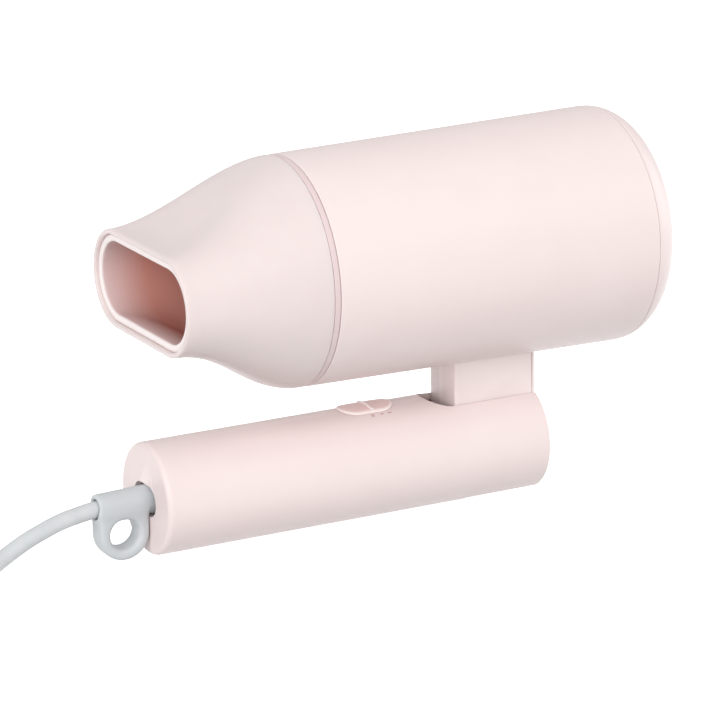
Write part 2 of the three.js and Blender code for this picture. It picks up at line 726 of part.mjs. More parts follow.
function handlePieces() {
  const clampScrews = CLAMP_SCREWS.map((y, i) => {
    const fastener = piece(`cord_clamp_screw_${i + 1}`, screw(1, 9, 1.9, 1), steel);
    fastener.position.set(CLAMP_X, y, CLAMP_TOP + GAP);
    return fastener;
  });
  const boardScrews = BOARD_SCREWS.map((x, i) => {
    const fastener = piece(`board_screw_${i + 1}`, screw(0.9, 5, 2, 0.9), steel);
    fastener.position.set(x, 0, BOARD_TOP + GAP);
    return fastener;
  });
  return [
    piece('handle_shell', handleShell(), pinkShell),
    piece('hinge_cheek_left', hingeCheek(1), pinkShell),
    piece('hinge_cheek_right', hingeCheek(-1), pinkShell),
    piece('hinge_pin', rodY(PIN_R, -PIN_HALF, PIN_HALF, 24), steel),
    piece('wave_washer_left', waveWasher(1), steel),
    piece('wave_washer_right', waveWasher(-1), steel),
    piece('handle_chassis', handleChassis(), heatPlastic),
    piece('switch_board', switchBoard(), circuitGreen),
    ...boardScrews,
    piece('switch_body', switchBody().translate(PAD_X, 0, 0), fanPlastic),
    piece('cord_clamp', cordClamp(), heatPlastic),
    ...clampScrews,
    piece('strain_relief', strainRelief(), greyRubber),
    piece('cord_inner_end', rodX(CORD_R, HANDLE_FRONT + WALL + 3, -86, 16), greyRubber),
  ];
}

function sliderPieces() {
  const slider = new THREE.Group();
  slider.position.x = PAD_X;
  slider.add(
    piece('slider_button', sliderButton(), rosePlastic),
    piece('slider_clip', sliderClip(), heatPlastic),
    piece('switch_actuator', box(-1.7, 1.7, -1.4, 1.4, 4, 7.9), heatPlastic),
  );
  return slider;
}

// ---- Cord and plug, in the part's own frame ----
const CORD_EXIT = [SEAM_X + PIVOT_X + LOOP_FACE, 0, HANDLE_R - 0.5];

// From the strain relief down to the table and along it, to where the coil's outer turn begins.
const CORD_RUN = [
  [CORD_EXIT[0] - GAP, 0, 15.35],
  [-90, 0, 14.6],
  [-95, 0, 13.6],
  [-101, 0, 11.6],
  [-106, -0.1, 9.6],
  [-112, -0.9, 6.9],
  [-118, -3, 4.6],
  [-124, -6.6, 3.1],
  [-129.5, -11.9, CORD_REST],
  [-134.5, -17.6, CORD_REST],
  [-140, -21.9, CORD_REST],
  [-146, -24.8, CORD_REST],
  [-152.3, -26.2, CORD_REST],
];

// From the coil's top outer turn to the plug.
const CORD_TAIL = [
  [-194.4, -25.95, 7.2],
  [-198, -25.1, 7.15],
  [-201.5, -23.95, 7.15],
  [-205, -22.95, 7.25],
  [-209, -22.25, 7.4],
  [PLUG_X + GAP, PLUG_Y, 7.55],
];

function cordCoil() {
  const edge = 2;
  const ring = [
    [COIL_INNER + edge, 0], [COIL_OUTER - edge, 0], [COIL_OUTER, edge],
    [COIL_OUTER, COIL_HEIGHT - edge], [COIL_OUTER - edge, COIL_HEIGHT],
    [COIL_INNER + edge, COIL_HEIGHT], [COIL_INNER, COIL_HEIGHT - edge], [COIL_INNER, edge],
  ];
  return turnedX(ring, 32).rotateY(-Math.PI / 2);
}

const PLUG_SLEEVE = 10;
const PLUG_BODY = 32;
const BLADE_SPACING = 12.7;

/** The plug's body: a flat rounded grip, waisted for the fingers and thinned at the cord. */
function plugBody() {
  const side = [
    [0, 5.5], [-4, 8], [-11, 8.8], [-19, 9.4], [-26, 11.3], [-PLUG_BODY + 1.5, 11.8], [-PLUG_BODY, 10.6],
  ];
  const otherSide = side.map(([x, y]) => [x, -y]);
  return slabZ([...otherSide, ...side.toReversed()], -PLUG_Z, PLUG_Z - 0.6);
}

/** A flat blade along -X with a bevelled tip, its width upright. */
function plugBlade() {
  const [length, halfWidth, halfThick] = [17.5, 3.17, 0.76];
  return slabY([
    [-length, halfWidth - 1.2], [-length, 1.2 - halfWidth], [1.2 - length, -halfWidth],
    [0, -halfWidth], [0, halfWidth], [1.2 - length, halfWidth],
  ], -halfThick, halfThick);
}

function plugPieces() {
  const plug = new THREE.Group();
  plug.position.set(PLUG_X, PLUG_Y, PLUG_Z);
  const sleeve = turnedX([[0, -PLUG_SLEEVE], [4.6, -PLUG_SLEEVE], [3.2, 0], [0, 0]], 16);
  const body = plugBody().translate(-PLUG_SLEEVE - GAP, 0, 0);
  const bladeX = -PLUG_SLEEVE - PLUG_BODY - 2 * GAP;
  const blades = [-1, 1].map((side, i) => (
    piece(`plug_blade_${i + 1}`, plugBlade().translate(bladeX, (side * BLADE_SPACING) / 2, 0), steel)
  ));
  plug.add(
    piece('plug_strain_relief', sleeve, greyRubber),
    piece('plug_body', body, greyRubber),
    ...blades,
  );
  return plug;
}

function cordPieces() {
  const coil = piece('cord_coil', cordCoil(), greyRubber);
  coil.position.set(COIL_X, COIL_Y, 0);
  return [
    piece('cord_run', tubeAlong(CORD_RUN, CORD_R, 10, 18), greyRubber),
    coil,
    piece('cord_tail', tubeAlong(CORD_TAIL, CORD_R, 10, 8), greyRubber),
    plugPieces(),
  ];
}

// ---- The whole dryer ----
const barrel = new THREE.Group();
barrel.position.set(SEAM_X, 0, BARREL_Z);
barrel.add(
  ...nozzlePieces(),
  ...barrelHousing(),
  ...heaterPieces(),
  ...fanAndMotor(),
  ...neckPieces(),
);

const handle = new THREE.Group();
handle.position.set(SEAM_X + PIVOT_X, 0, HANDLE_R);
handle.add(...handlePieces(), sliderPieces());

const group = new THREE.Group();
group.add(barrel, handle, ...cordPieces());

export default group;
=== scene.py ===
"""The looks of a folding travel hair dryer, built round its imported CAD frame. Metres, +Z up."""

import json
import math

import bmesh
import bpy
import numpy as np
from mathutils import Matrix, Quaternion, Vector


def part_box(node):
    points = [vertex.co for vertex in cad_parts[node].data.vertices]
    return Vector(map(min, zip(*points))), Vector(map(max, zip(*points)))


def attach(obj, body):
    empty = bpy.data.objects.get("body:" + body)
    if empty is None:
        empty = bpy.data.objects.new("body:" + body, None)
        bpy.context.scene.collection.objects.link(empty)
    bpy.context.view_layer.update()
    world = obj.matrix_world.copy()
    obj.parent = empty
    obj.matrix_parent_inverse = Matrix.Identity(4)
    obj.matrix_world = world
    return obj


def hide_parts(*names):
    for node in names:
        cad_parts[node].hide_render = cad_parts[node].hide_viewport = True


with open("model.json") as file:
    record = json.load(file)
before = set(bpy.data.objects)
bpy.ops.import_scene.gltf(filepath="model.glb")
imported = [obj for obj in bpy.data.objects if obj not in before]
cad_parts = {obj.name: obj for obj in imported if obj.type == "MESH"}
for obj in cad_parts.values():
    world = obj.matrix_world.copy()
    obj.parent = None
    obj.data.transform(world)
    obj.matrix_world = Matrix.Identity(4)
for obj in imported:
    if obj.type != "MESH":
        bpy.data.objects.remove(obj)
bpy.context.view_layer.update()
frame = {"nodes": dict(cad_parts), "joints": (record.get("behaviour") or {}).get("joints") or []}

MM = 0.001
GAP = 0.3  # clearance between neighbouring pieces, in millimetres, as all local sizes below
NODES = frame["nodes"]
JOINTS = {joint["name"]: joint for joint in frame["joints"]}

# ---- Places that the frame gives ----
HANDLE_AT = Vector(JOINTS["barrel_fold"]["pos_m"])  # the hinge pivot, on the handle's axis
FILTER_LOW, FILTER_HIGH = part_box("inlet_filter")
NOZZLE_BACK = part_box("nozzle_shell")[1]
BARREL_AT = Vector((NOZZLE_BACK.x + GAP * MM, 0, (FILTER_LOW.z + FILTER_HIGH.z) / 2))  # the nozzle's seam


def local(node, origin):
    """A CAD node's lowest and highest corner in millimetres from an origin."""
    low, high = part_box(node)
    return (low - origin) / MM, (high - origin) / MM


# Pieces of the barrel are measured from BARREL_AT, pieces of the handle from HANDLE_AT.
BARREL_END = local("rear_cover", BARREL_AT)[1].x
MOUTH_X = local("nozzle_shell", BARREL_AT)[0].x
LINER_MOUTH_X = local("nozzle_liner", BARREL_AT)[0].x
HANDLE_R = HANDLE_AT.z / MM
HANDLE_FRONT = local("handle_shell", HANDLE_AT)[0].x
PAD_LOW, PAD_HIGH = local("slider_button", HANDLE_AT)
PAD_X = (PAD_LOW.x + PAD_HIGH.x) / 2
RELIEF_FACE = local("strain_relief", HANDLE_AT)[0].x
AXIS_DROP = (BARREL_AT.z - HANDLE_AT.z) / MM
PIVOT_X = (HANDLE_AT.x - BARREL_AT.x) / MM
COIL_LOW, COIL_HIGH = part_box("cord_coil")
PLUG_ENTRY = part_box("plug_strain_relief")[1] / MM

# ---- Sizes that the CAD solids have, in millimetres ----
FRONT_R = 32.56
REAR_R = 34
REAR_SEAM = 102.1
REAR_ROUNDING = 9.95
INLET_R = 22.6
WALL = 1.8
MOUTH_W = 30.6
MOUTH_H = 14
LINER_W = 27
LINER_H = 10.4
LINER_BASE_X = -5.8
LINER_BASE_R = 28.3
LINER_WALL = 1.3
LIP_START = -24  # where the liner's wall starts to thicken towards its lip
NOZZLE_WALL = 1.5
NOZZLE_EASE = 0.93
SLOT_HALF = 7.6
SLOT_FRONT = -10.2
NECK_HALF = SLOT_HALF - GAP
NECK_FRONT = -10.55
NECK_BACK = 15.65
NECK_COVER = 0.9
KNUCKLE_R = 15.4
PIN_R = 2.5
WASHER_SEAT_R = 5.1
NECK_SCREWS = (58, 69)
SCREW_HOLE_R = 1.8
CORD_R = 2.4

# ---- Seams and edges that are finer here than in the CAD solids ----
SEAM = -0.06  # the nozzle's rear edge
COLLAR_FACE = 0.03  # the collar's front, across the seam
COLLAR_EDGE = 1.8  # the collar's back
COLLAR_SLIT = 0.15  # from the collar's back to the barrel
REAR_SLIT = 0.04  # on each side of the rear seam
SLIT = 0.22  # between the neck and its rear cover
SADDLE_GAP = 0.08  # between the neck and the barrel
HAIR = 0.02  # keeps two faces out of one plane, which a boolean cut needs

# ---- The neck's end inside the barrel, its hole there and its wire duct ----
SPIGOT = (54, 73, -5, 5)  # its limits in x, then in y
SPIGOT_HOLE = (53.6, 73.4, -5.4, 5.4)
DUCT_R = 1.6

ORIGIN = Vector((0, 0, 0))


# ---- Colours and materials ----
def tint(code):
    """A six-digit colour code as linear red, green, blue and alpha."""
    parts = [int(code[i:i + 2], 16) / 255 for i in (0, 2, 4)]
    return [c / 12.92 if c <= 0.04045 else ((c + 0.055) / 1.055) ** 2.4 for c in parts] + [1.0]


class Nodes:
    """A new material with a Principled shader, and short calls to add nodes to it."""

    def __init__(self, name, **sockets):
        self.material = bpy.data.materials.new(name)
        self.material.use_nodes = True
        self.tree = self.material.node_tree
        self.shader = self.tree.nodes["Principled BSDF"]
        for socket, value in sockets.items():
            self.shader.inputs[socket.replace("_", " ")].default_value = value

    def add(self, kind, inputs=None, **settings):
        node = self.tree.nodes.new(kind)
        for key, value in settings.items():
            setattr(node, key, value)
        for key, value in (inputs or {}).items():
            if isinstance(value, bpy.types.NodeSocket):
                self.link(value, node.inputs[key])
            else:
                node.inputs[key].default_value = value
        return node

    def link(self, output, socket):
        self.tree.links.new(output, socket)

    def place(self):
        return self.add("ShaderNodeTexCoord").outputs["Object"]

    def noise(self, scale, detail=2.0, roughness=0.5):
        inputs = {"Vector": self.place(), "Scale": scale, "Detail": detail, "Roughness": roughness}
        return self.add("ShaderNodeTexNoise", inputs).outputs["Fac"]

    def blend(self, factor, dark, light):
        ramp = self.add("ShaderNodeValToRGB", {"Fac": factor})
        ramp.color_ramp.elements[0].position = 0.3
        ramp.color_ramp.elements[1].position = 0.7
        ramp.color_ramp.elements[0].color = dark
        ramp.color_ramp.elements[1].color = light
        return ramp.outputs["Color"]

    def spread(self, factor, low, high):
        inputs = {"Value": factor, "To Min": low, "To Max": high}
        return self.add("ShaderNodeMapRange", inputs).outputs["Result"]

    def bump(self, height, distance):
        inputs = {"Height": height, "Distance": distance, "Strength": 1.0}
        return self.add("ShaderNodeBump", inputs).outputs["Normal"]

    def feed(self, socket, output):
        self.link(output, self.shader.inputs[socket])


def moulded(name, dark, light, rough, grain=0.25, relief=0.004, **sockets):
    """Moulded plastic or rubber: a faint mottle, a fine spark-eroded grain and uneven gloss."""
    m = Nodes(name, **sockets)
    m.feed("Base Color", m.blend(m.noise(60, 3), tint(dark), tint(light)))
    m.feed("Roughness", m.spread(m.noise(400, 2), rough - 0.04, rough + 0.04))
    m.feed("Normal", m.bump(m.noise(1 / (grain * MM), 2, 0.6), relief * MM))
    return m.material


def edge_highlighted(name, dark, light, edge_light, rough, **sockets):
    """Moulded plastic whose sharpest edges are painted lighter, as a painted edge highlight."""
    m = Nodes(name, **sockets)
    body = m.blend(m.noise(60, 3), tint(dark), tint(light))
    # Lighter colour on the sharpest edges: a painted highlight.
    edge = m.add("ShaderNodeNewGeometry").outputs["Pointiness"]
    reach = {"Value": edge, "From Min": 0.53, "From Max": 0.62, "To Max": 0.5}
    share = m.add("ShaderNodeMapRange", reach).outputs["Result"]
    mix = m.add("ShaderNodeMix", {"Factor": share}, data_type="RGBA")
    m.link(body, mix.inputs["A"])
    mix.inputs["B"].default_value = tint(edge_light)
    m.feed("Base Color", mix.outputs["Result"])
    m.feed("Roughness", m.spread(m.noise(400, 2), rough - 0.04, rough + 0.04))
    m.feed("Normal", m.bump(m.noise(4000, 2, 0.6), 0.004 * MM))
    return m.material


def metal(name, dark, light, rough, stretch=(1, 1, 1)):
    """Bare metal with fine drawn or turned streaks."""
    m = Nodes(name, Metallic=1.0)
    scaled = m.add("ShaderNodeMapping", {"Vector": m.place(), "Scale": stretch}).outputs["Vector"]
    streak = m.add("ShaderNodeTexNoise", {"Vector": scaled, "Scale": 900, "Detail": 3}).outputs["Fac"]
    m.feed("Base Color", m.blend(streak, tint(dark), tint(light)))
    m.feed("Roughness", m.spread(streak, rough - 0.08, rough + 0.08))
    m.feed("Normal", m.bump(streak, 0.006 * MM))
    return m.material


def liner_plastic():
    """Rose plastic: lightest at the mouth's rim and mauve behind it, then redder and darker down the throat
    as painted shade.
    """
    m = Nodes("liner_rose", Specular_IOR_Level=0.35)
    along = m.add("ShaderNodeSeparateXYZ", {"Vector": m.place()}).outputs["X"]
    rim = BARREL_AT.x + LINER_MOUTH_X * MM
    reach = {"Value": along, "From Min": rim, "From Max": rim + 20 * MM}
    depth = m.add("ShaderNodeMapRange", reach).outputs["Result"]
    mottle = m.spread(m.noise(60, 3), -0.01, 0.01)
    throat_shade_and_mottle = m.add("ShaderNodeMath", {0: depth, 1: mottle}, operation="ADD").outputs[0]
    # The colour darkens and reddens with depth into the throat: painted shade, with a faint mottle.
    ramp = m.add("ShaderNodeValToRGB", {"Fac": throat_shade_and_mottle})
    stops = ramp.color_ramp.elements
    stops[0].position, stops[0].color = 0.02, tint("f8eeec")
    stops[1].position, stops[1].color = 0.7, tint("f0ad9f")
    for position, code in ((0.05, "f0d5d3"), (0.3, "f2cbc6")):
        stops.new(position).color = tint(code)
    m.feed("Base Color", ramp.outputs["Color"])
    m.feed("Roughness", m.spread(m.noise(400, 2), 0.42, 0.5))
    m.feed("Normal", m.bump(m.noise(4000, 2, 0.6), 0.004 * MM))
    return m.material


def gauze():
    """Woven wire gauze: crossed wires as a colour and relief pattern."""
    m = Nodes("gauze", Metallic=0.7)
    waves = []
    for axis in ("Y", "Z"):
        inputs = {"Vector": m.place(), "Scale": 320}
        waves.append(m.add("ShaderNodeTexWave", inputs, bands_direction=axis).outputs["Fac"])
    woven = m.add("ShaderNodeMath", {0: waves[0], 1: waves[1]}, operation="MAXIMUM").outputs[0]
    m.feed("Base Color", m.blend(woven, tint("1c1c1e"), tint("8c8c90")))
    m.feed("Roughness", m.spread(woven, 0.6, 0.35))
    m.feed("Normal", m.bump(woven, 0.05 * MM))
    return m.material


def mica_sheet():
    """Layered mica: a warm mottle with flakes."""
    m = Nodes("mica", Coat_Weight=0.3)
    inputs = {"Vector": m.place(), "Scale": 300}
    flakes = m.add("ShaderNodeTexVoronoi", inputs).outputs["Distance"]
    m.feed("Base Color", m.blend(flakes, tint("a5947a"), tint("cdbd9f")))
    m.feed("Roughness", m.spread(flakes, 0.35, 0.6))
    m.feed("Normal", m.bump(flakes, 0.02 * MM))
    return m.material


def cord_jacket():
    """The cord's jacket: fine mottle and a soft gloss."""
    m = Nodes("cord_jacket", Coat_Weight=0.15, Coat_Roughness=0.3)
    m.feed("Base Color", m.blend(m.noise(200, 3), tint("c5c8ca"), tint("ced1d2")))
    m.feed("Roughness", m.spread(m.noise(700, 2), 0.34, 0.42))
    m.feed("Normal", m.bump(m.noise(2500, 2), 0.006 * MM))
    return m.material


# Soft-touch pink, its sharpest edges painted lighter as a highlight.
PINK = edge_highlighted("pink_soft_touch", "e8d8d6", "eadbd9", "f6e9e7", 0.42, Coat_Weight=0.12, Coat_Roughness=0.4)
PINK_SATIN = moulded("pink_satin", "e8d8d6", "eadbd9", 0.42, Coat_Weight=0.12, Coat_Roughness=0.4)
# A darker, greyer pink for the collar band at the nozzle's seam: painted shade of its recess.
COLLAR_SHADED_PINK = moulded("pink_collar_painted_shade", "dbc6c7", "dec9ca", 0.4, Coat_Weight=0.1, Coat_Roughness=0.4)
FROSTED = moulded(
    "frosted_pink", "e3d4d2", "e6d7d5", 0.38, grain=0.4, relief=0.006,
    Subsurface_Weight=0.25, Subsurface_Radius=(0.004, 0.0028, 0.0026), Subsurface_Scale=1.0,
)
# The button's pink, its sharpest edges painted near white as a highlight.
ROSE = edge_highlighted("rose_button", "efd3cf", "f2d8d4", "fffaf8", 0.42)
# Near-white pink for the button's rim and rib: a painted highlight on them.
RIB_HIGHLIGHT = moulded("rib_painted_highlight", "f8e9e6", "fbefec", 0.42)
# Dark red-brown for the handle's chassis, seen through the slot gaps: painted shade.
CHASSIS_GAP_SHADE = moulded("chassis_gap_shade", "b5786c", "bd8276", 0.5)
LINER = liner_plastic()
GREY = moulded("grey_rubber", "c3c7ca", "cbcfd1", 0.5, grain=0.35, relief=0.006)
PLUG_GREY = moulded("grey_plug", "c3c7ca", "cbcfd1", 0.45, grain=0.5, relief=0.008)
JACKET = cord_jacket()
DARK = moulded("dark_heat_plastic", "241f1e", "302a28", 0.55, relief=0.01)
FAN_DARK = moulded("dark_fan_plastic", "1f1f22", "2a2a2d", 0.45)
MICA = mica_sheet()
STEEL = metal("bright_steel", "8b8d90", "b4b6b8", 0.32, (1, 8, 8))
BRASS = metal("plain_brass", "a98d4c", "c4a862", 0.3, (1, 8, 8))
NICHROME = metal("oxidised_wire", "5d554f", "8b8078", 0.45)
NICKEL = metal("nickel_plate", "a6a6a5", "bdbdbb", 0.28, (8, 1, 1))
BOARD_GREEN = moulded("circuit_board", "1d4a33", "2f6b4a", 0.4, grain=0.6, relief=0.02, Coat_Weight=0.4)
FERRITE = moulded("ferrite", "26262a", "343438", 0.55, relief=0.03)
GAUZE = gauze()
MARK = moulded("mark_ink", "b98e89", "c0958f", 0.6)
# Near white for the dome at the rib's end: a painted glint.
DOT_GLINT = moulded("dot_glint", "f4eeec", "f8f3f1", 0.4)
TIE_GREY = moulded("tie_webbing", "b4b8bb", "c0c4c6", 0.7, grain=0.9, relief=0.15)


# ---- Mesh helpers ----
def rounded(corners, steps=5):
    """A closed outline from (a, b, radius) corners, each turned into an arc of its radius."""
    points = []
    for i, (a, b, radius) in enumerate(corners):
        here = Vector((a, b))
        back = (Vector(corners[i - 1][:2]) - here).normalized()
        on = (Vector(corners[(i + 1) % len(corners)][:2]) - here).normalized()
        if radius <= 0:
            points.append((a, b))
            continue
        half = back.angle(on) / 2
        centre = here + (back + on).normalized() * (radius / math.sin(half))
        start = here + back * (radius / math.tan(half)) - centre
        end = here + on * (radius / math.tan(half)) - centre
        first = math.atan2(start.y, start.x)
        sweep = (math.atan2(end.y, end.x) - first + math.pi) % (2 * math.pi) - math.pi
        for k in range(steps + 1):
            angle = first + sweep * k / steps
            points.append((centre.x + radius * math.cos(angle), centre.y + radius * math.sin(angle)))
    return points


def arc(ca, cb, radius, start, end, steps):
    """Points of an arc from one angle to another, in degrees."""
    angles = [math.radians(start + (end - start) * k / steps) for k in range(steps + 1)]
    return [(ca + radius * math.cos(t), cb + radius * math.sin(t)) for t in angles]


def hole(ca, cb, radius, steps=48):
    """A full circle of points, for a bore."""
    return arc(ca, cb, radius, 0, 360 - 360 / steps, steps - 1)


def stadium(a, b, ca=0.0, cb=0.0, steps=16):
    """A stadium outline of half length a along the first axis and half width b."""
    return arc(ca + a - b, cb, b, -90, 90, steps) + arc(ca - a + b, cb, b, 90, 270, steps)


def joined_rings(rings, closed):
    """Vertices and quads through rings of points; closed joins the last ring to the first."""
    around = len(rings[0])
    faces = []
    for i in range(len(rings) if closed else len(rings) - 1):
        j = (i + 1) % len(rings)
        for k in range(around):
            m = (k + 1) % around
            faces.append((i * around + k, i * around + m, j * around + m, j * around + k))
    return [point for ring in rings for point in ring], faces


def lofted(rings):
    """A body through rings of points, with a face across each end."""
    verts, faces = joined_rings(rings, False)
    count = len(rings[0])
    return verts, [*faces, tuple(range(count)), tuple(range(len(verts) - count, len(verts)))]


def turned(outline, segments=144, closed=True):
    """An outline of (x, r) points turned about the X axis: a closed ring, or a body with flat ends."""
    rings = []
    for x, r in outline:
        turns = [2 * math.pi * k / segments for k in range(segments)]
        rings.append([(x, r * math.cos(t), r * math.sin(t)) for t in turns])
    return joined_rings(rings, True) if closed else lofted(rings)


def prism(outline, low, high, axis):
    """An outline extruded along an axis: (x, y) along z, (y, z) along x, or (x, z) along y."""
    at = {
        "x": lambda p, h: (h, p[0], p[1]),
        "y": lambda p, h: (p[0], h, p[1]),
        "z": lambda p, h: (p[0], p[1], h),
    }[axis]
    return lofted([[at(p, h) for p in outline] for h in (low, high)])


def box_outline(a0, a1, b0, b1):
    """The four corners of a rectangle from its limits along two axes."""
    return [(a0, b0), (a1, b0), (a1, b1), (a0, b1)]


def make(name, shape, origin):
    """An object from vertices in millimetres about an origin, welded, with its faces pointing out."""
    verts, faces = shape
    mesh = bpy.data.meshes.new(name)
    mesh.from_pydata([origin + Vector(v) * MM for v in verts], [], faces)
    work = bmesh.new()
    work.from_mesh(mesh)
    bmesh.ops.remove_doubles(work, verts=work.verts, dist=0.002 * MM)
    bmesh.ops.recalc_face_normals(work, faces=work.faces)
    work.to_mesh(mesh)
    work.free()
    thing = bpy.data.objects.new(name, mesh)
    bpy.context.scene.collection.objects.link(thing)
    return thing


def baked(thing):
    """Applies an object's modifiers, or turns a curve into a mesh object of the same name."""
    shape = bpy.data.meshes.new_from_object(thing.evaluated_get(bpy.context.evaluated_depsgraph_get()))
    name = thing.name
    bpy.data.objects.remove(thing)
    made = bpy.data.objects.new(name, shape)
    bpy.context.scene.collection.objects.link(made)
    return made


def changed(thing, operation, *tools):
    """Cuts tools from a thing, joins them to it or keeps what they share, and removes the tools."""
    for tool in tools:
        step = thing.modifiers.new(operation, "BOOLEAN")
        step.operation = operation
        step.solver = "EXACT"
        step.object = tool
    made = baked(thing)
    for tool in tools:
        bpy.data.objects.remove(tool)
    return made


def bevelled(thing, width, segments=3, angle=30):
    """Rounds the edges of a thing that are sharper than an angle."""
    step = thing.modifiers.new("bevel", "BEVEL")
    step.width = width * MM
    step.segments = segments
    step.limit_method = "ANGLE"
    step.angle_limit = math.radians(angle)
    return baked(thing)


def welded(thing):
    """Merges the points that a converted curve repeats along its edges."""
    work = bmesh.new()
    work.from_mesh(thing.data)
    bmesh.ops.remove_doubles(work, verts=work.verts, dist=0.004 * MM)
    bmesh.ops.recalc_face_normals(work, faces=work.faces)
    work.to_mesh(thing.data)
    work.free()
    return thing


def merged_flats(thing):
    """Joins the faces that lie in one plane, so that a flat face shades flat."""
    step = thing.modifiers.new("merge", "DECIMATE")
    step.decimate_type = "DISSOLVE"
    step.angle_limit = math.radians(0.5)
    return baked(thing)


def softened(thing, voxel, passes):
    """Remeshes a thing evenly and smooths it, so that its edges and inner corners turn round."""
    remesh = thing.modifiers.new("remesh", "REMESH")
    remesh.mode = "VOXEL"
    remesh.voxel_size = voxel * MM
    smooth = thing.modifiers.new("smooth", "SMOOTH")
    smooth.factor = 0.5
    smooth.iterations = passes
    return baked(thing)


def soft_union(a, b, reach):
    """Two distance fields joined with a fillet of about the given reach."""
    share = np.clip(0.5 + 0.5 * (b - a) / reach, 0, 1)
    return b + (a - b) * share - reach * share * (1 - share)


def soft_cut(a, b, reach):
    """Field b cut from field a, with the edge rounded over the given reach."""
    return -soft_union(-a, b, reach)


def slab_field(flat, depth, edge):
    """A flat shape's field and a distance beyond its thickness, as a body with round edges."""
    u, v = flat + edge, depth + edge
    return np.minimum(np.maximum(u, v), 0) + np.hypot(np.maximum(u, 0), np.maximum(v, 0)) - edge


def field_mesh(field, low, high, cell):
    """A smooth closed mesh where a distance field is zero: one point in each cell that it crosses."""
    counts = [int(math.ceil((h - l) / cell)) + 1 for l, h in zip(low, high)]
    axes = [l + cell * np.arange(n) for l, n in zip(low, counts)]
    grid = np.meshgrid(*axes, indexing="ij")
    values = field(*grid)
    inside = values < 0
    total = np.zeros([n - 1 for n in counts] + [3])
    hits = np.zeros([n - 1 for n in counts])
    for axis in range(3):
        a = [slice(None)] * 3
        b = [slice(None)] * 3
        a[axis], b[axis] = slice(0, -1), slice(1, None)
        a, b = tuple(a), tuple(b)
        crossed = inside[a] != inside[b]
        share = np.where(crossed, values[a] / np.where(crossed, values[a] - values[b], 1), 0)
        places = np.stack([g[a] for g in grid], -1)
        places[..., axis] += share * cell
        others = [i for i in range(3) if i != axis]
        for i in (0, 1):
            for j in (0, 1):
                pick = [slice(None)] * 3
                for other, k in zip(others, (i, j)):
                    pick[other] = slice(k, counts[other] - 1 + k)
                pick = tuple(pick)
                total += places[pick] * crossed[pick][..., None]
                hits += crossed[pick]
    used = hits > 0
    number = np.full(used.shape, -1)
    number[used] = np.arange(int(used.sum()))
    verts = total[used] / hits[used][:, None]
    faces = []
    for axis in range(3):
        a = [slice(None)] * 3
        b = [slice(None)] * 3
        a[axis], b[axis] = slice(0, -1), slice(1, None)
        i, j, k = np.nonzero(inside[tuple(a)] != inside[tuple(b)])
        step = [np.eye(3, dtype=int)[other] for other in range(3) if other != axis]
        base = np.stack([i, j, k], -1)
        corners = [base - step[0] - step[1], base - step[1], base, base - step[0]]
        faces.append(np.stack([number[tuple(c.T)] for c in corners], -1))
    return verts.tolist(), np.concatenate(faces).tolist()


def finished(thing, body, material, slot, *nodes, angle=35, flat_faces=False):
    """Shades a piece, gives it its material, hangs it on its body and hides the CAD nodes that it stands
    for.
    """
    thing.data.shade_smooth()
    thing.data.set_sharp_from_angle(angle=math.radians(angle))
    if flat_faces:
        step = thing.modifiers.new("flat_faces", "WEIGHTED_NORMAL")
        step.keep_sharp = True
        step.weight = 100
    thing.data.materials.clear()
    thing.data.materials.append(material)
    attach(thing, body)
    if nodes:
        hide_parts(*nodes)
    return thing


# ---- Camera, light and floor ----
CAMERA_TARGET = Vector((-0.00183, 0, 0.04553))
CAMERA_DISTANCE = 1.177
CAMERA_AZIMUTH = math.radians(-27.6)
CAMERA_ELEVATION = math.radians(16.545)
CAMERA_ROLL = math.radians(-0.973)
CAMERA_LENS = 209.47


def add_camera():
    data = bpy.data.cameras.new("camera")
    data.lens = CAMERA_LENS
    data.sensor_width = 36
    camera = bpy.data.objects.new("camera", data)
    bpy.context.scene.collection.objects.link(camera)
    back = Vector((
        math.sin(CAMERA_AZIMUTH) * math.cos(CAMERA_ELEVATION),
        -math.cos(CAMERA_AZIMUTH) * math.cos(CAMERA_ELEVATION),
        math.sin(CAMERA_ELEVATION),
    ))
    camera.location = CAMERA_TARGET + back * CAMERA_DISTANCE
    camera.rotation_mode = "QUATERNION"
    camera.rotation_quaternion = (-back).to_track_quat("-Z", "Y") @ Quaternion((0, 0, 1), CAMERA_ROLL)
    bpy.context.scene.camera = camera


def add_softbox(name, place, size, power, aim=(0, 0, 0.05)):
    data = bpy.data.lights.new(name, "AREA")
    data.shape = "RECTANGLE"
    data.size, data.size_y = size
    data.energy = power
    light = bpy.data.objects.new(name, data)
    bpy.context.scene.collection.objects.link(light)
    light.location = place
    light.rotation_mode = "QUATERNION"
    light.rotation_quaternion = (Vector(aim) - Vector(place)).to_track_quat("-Z", "Y")


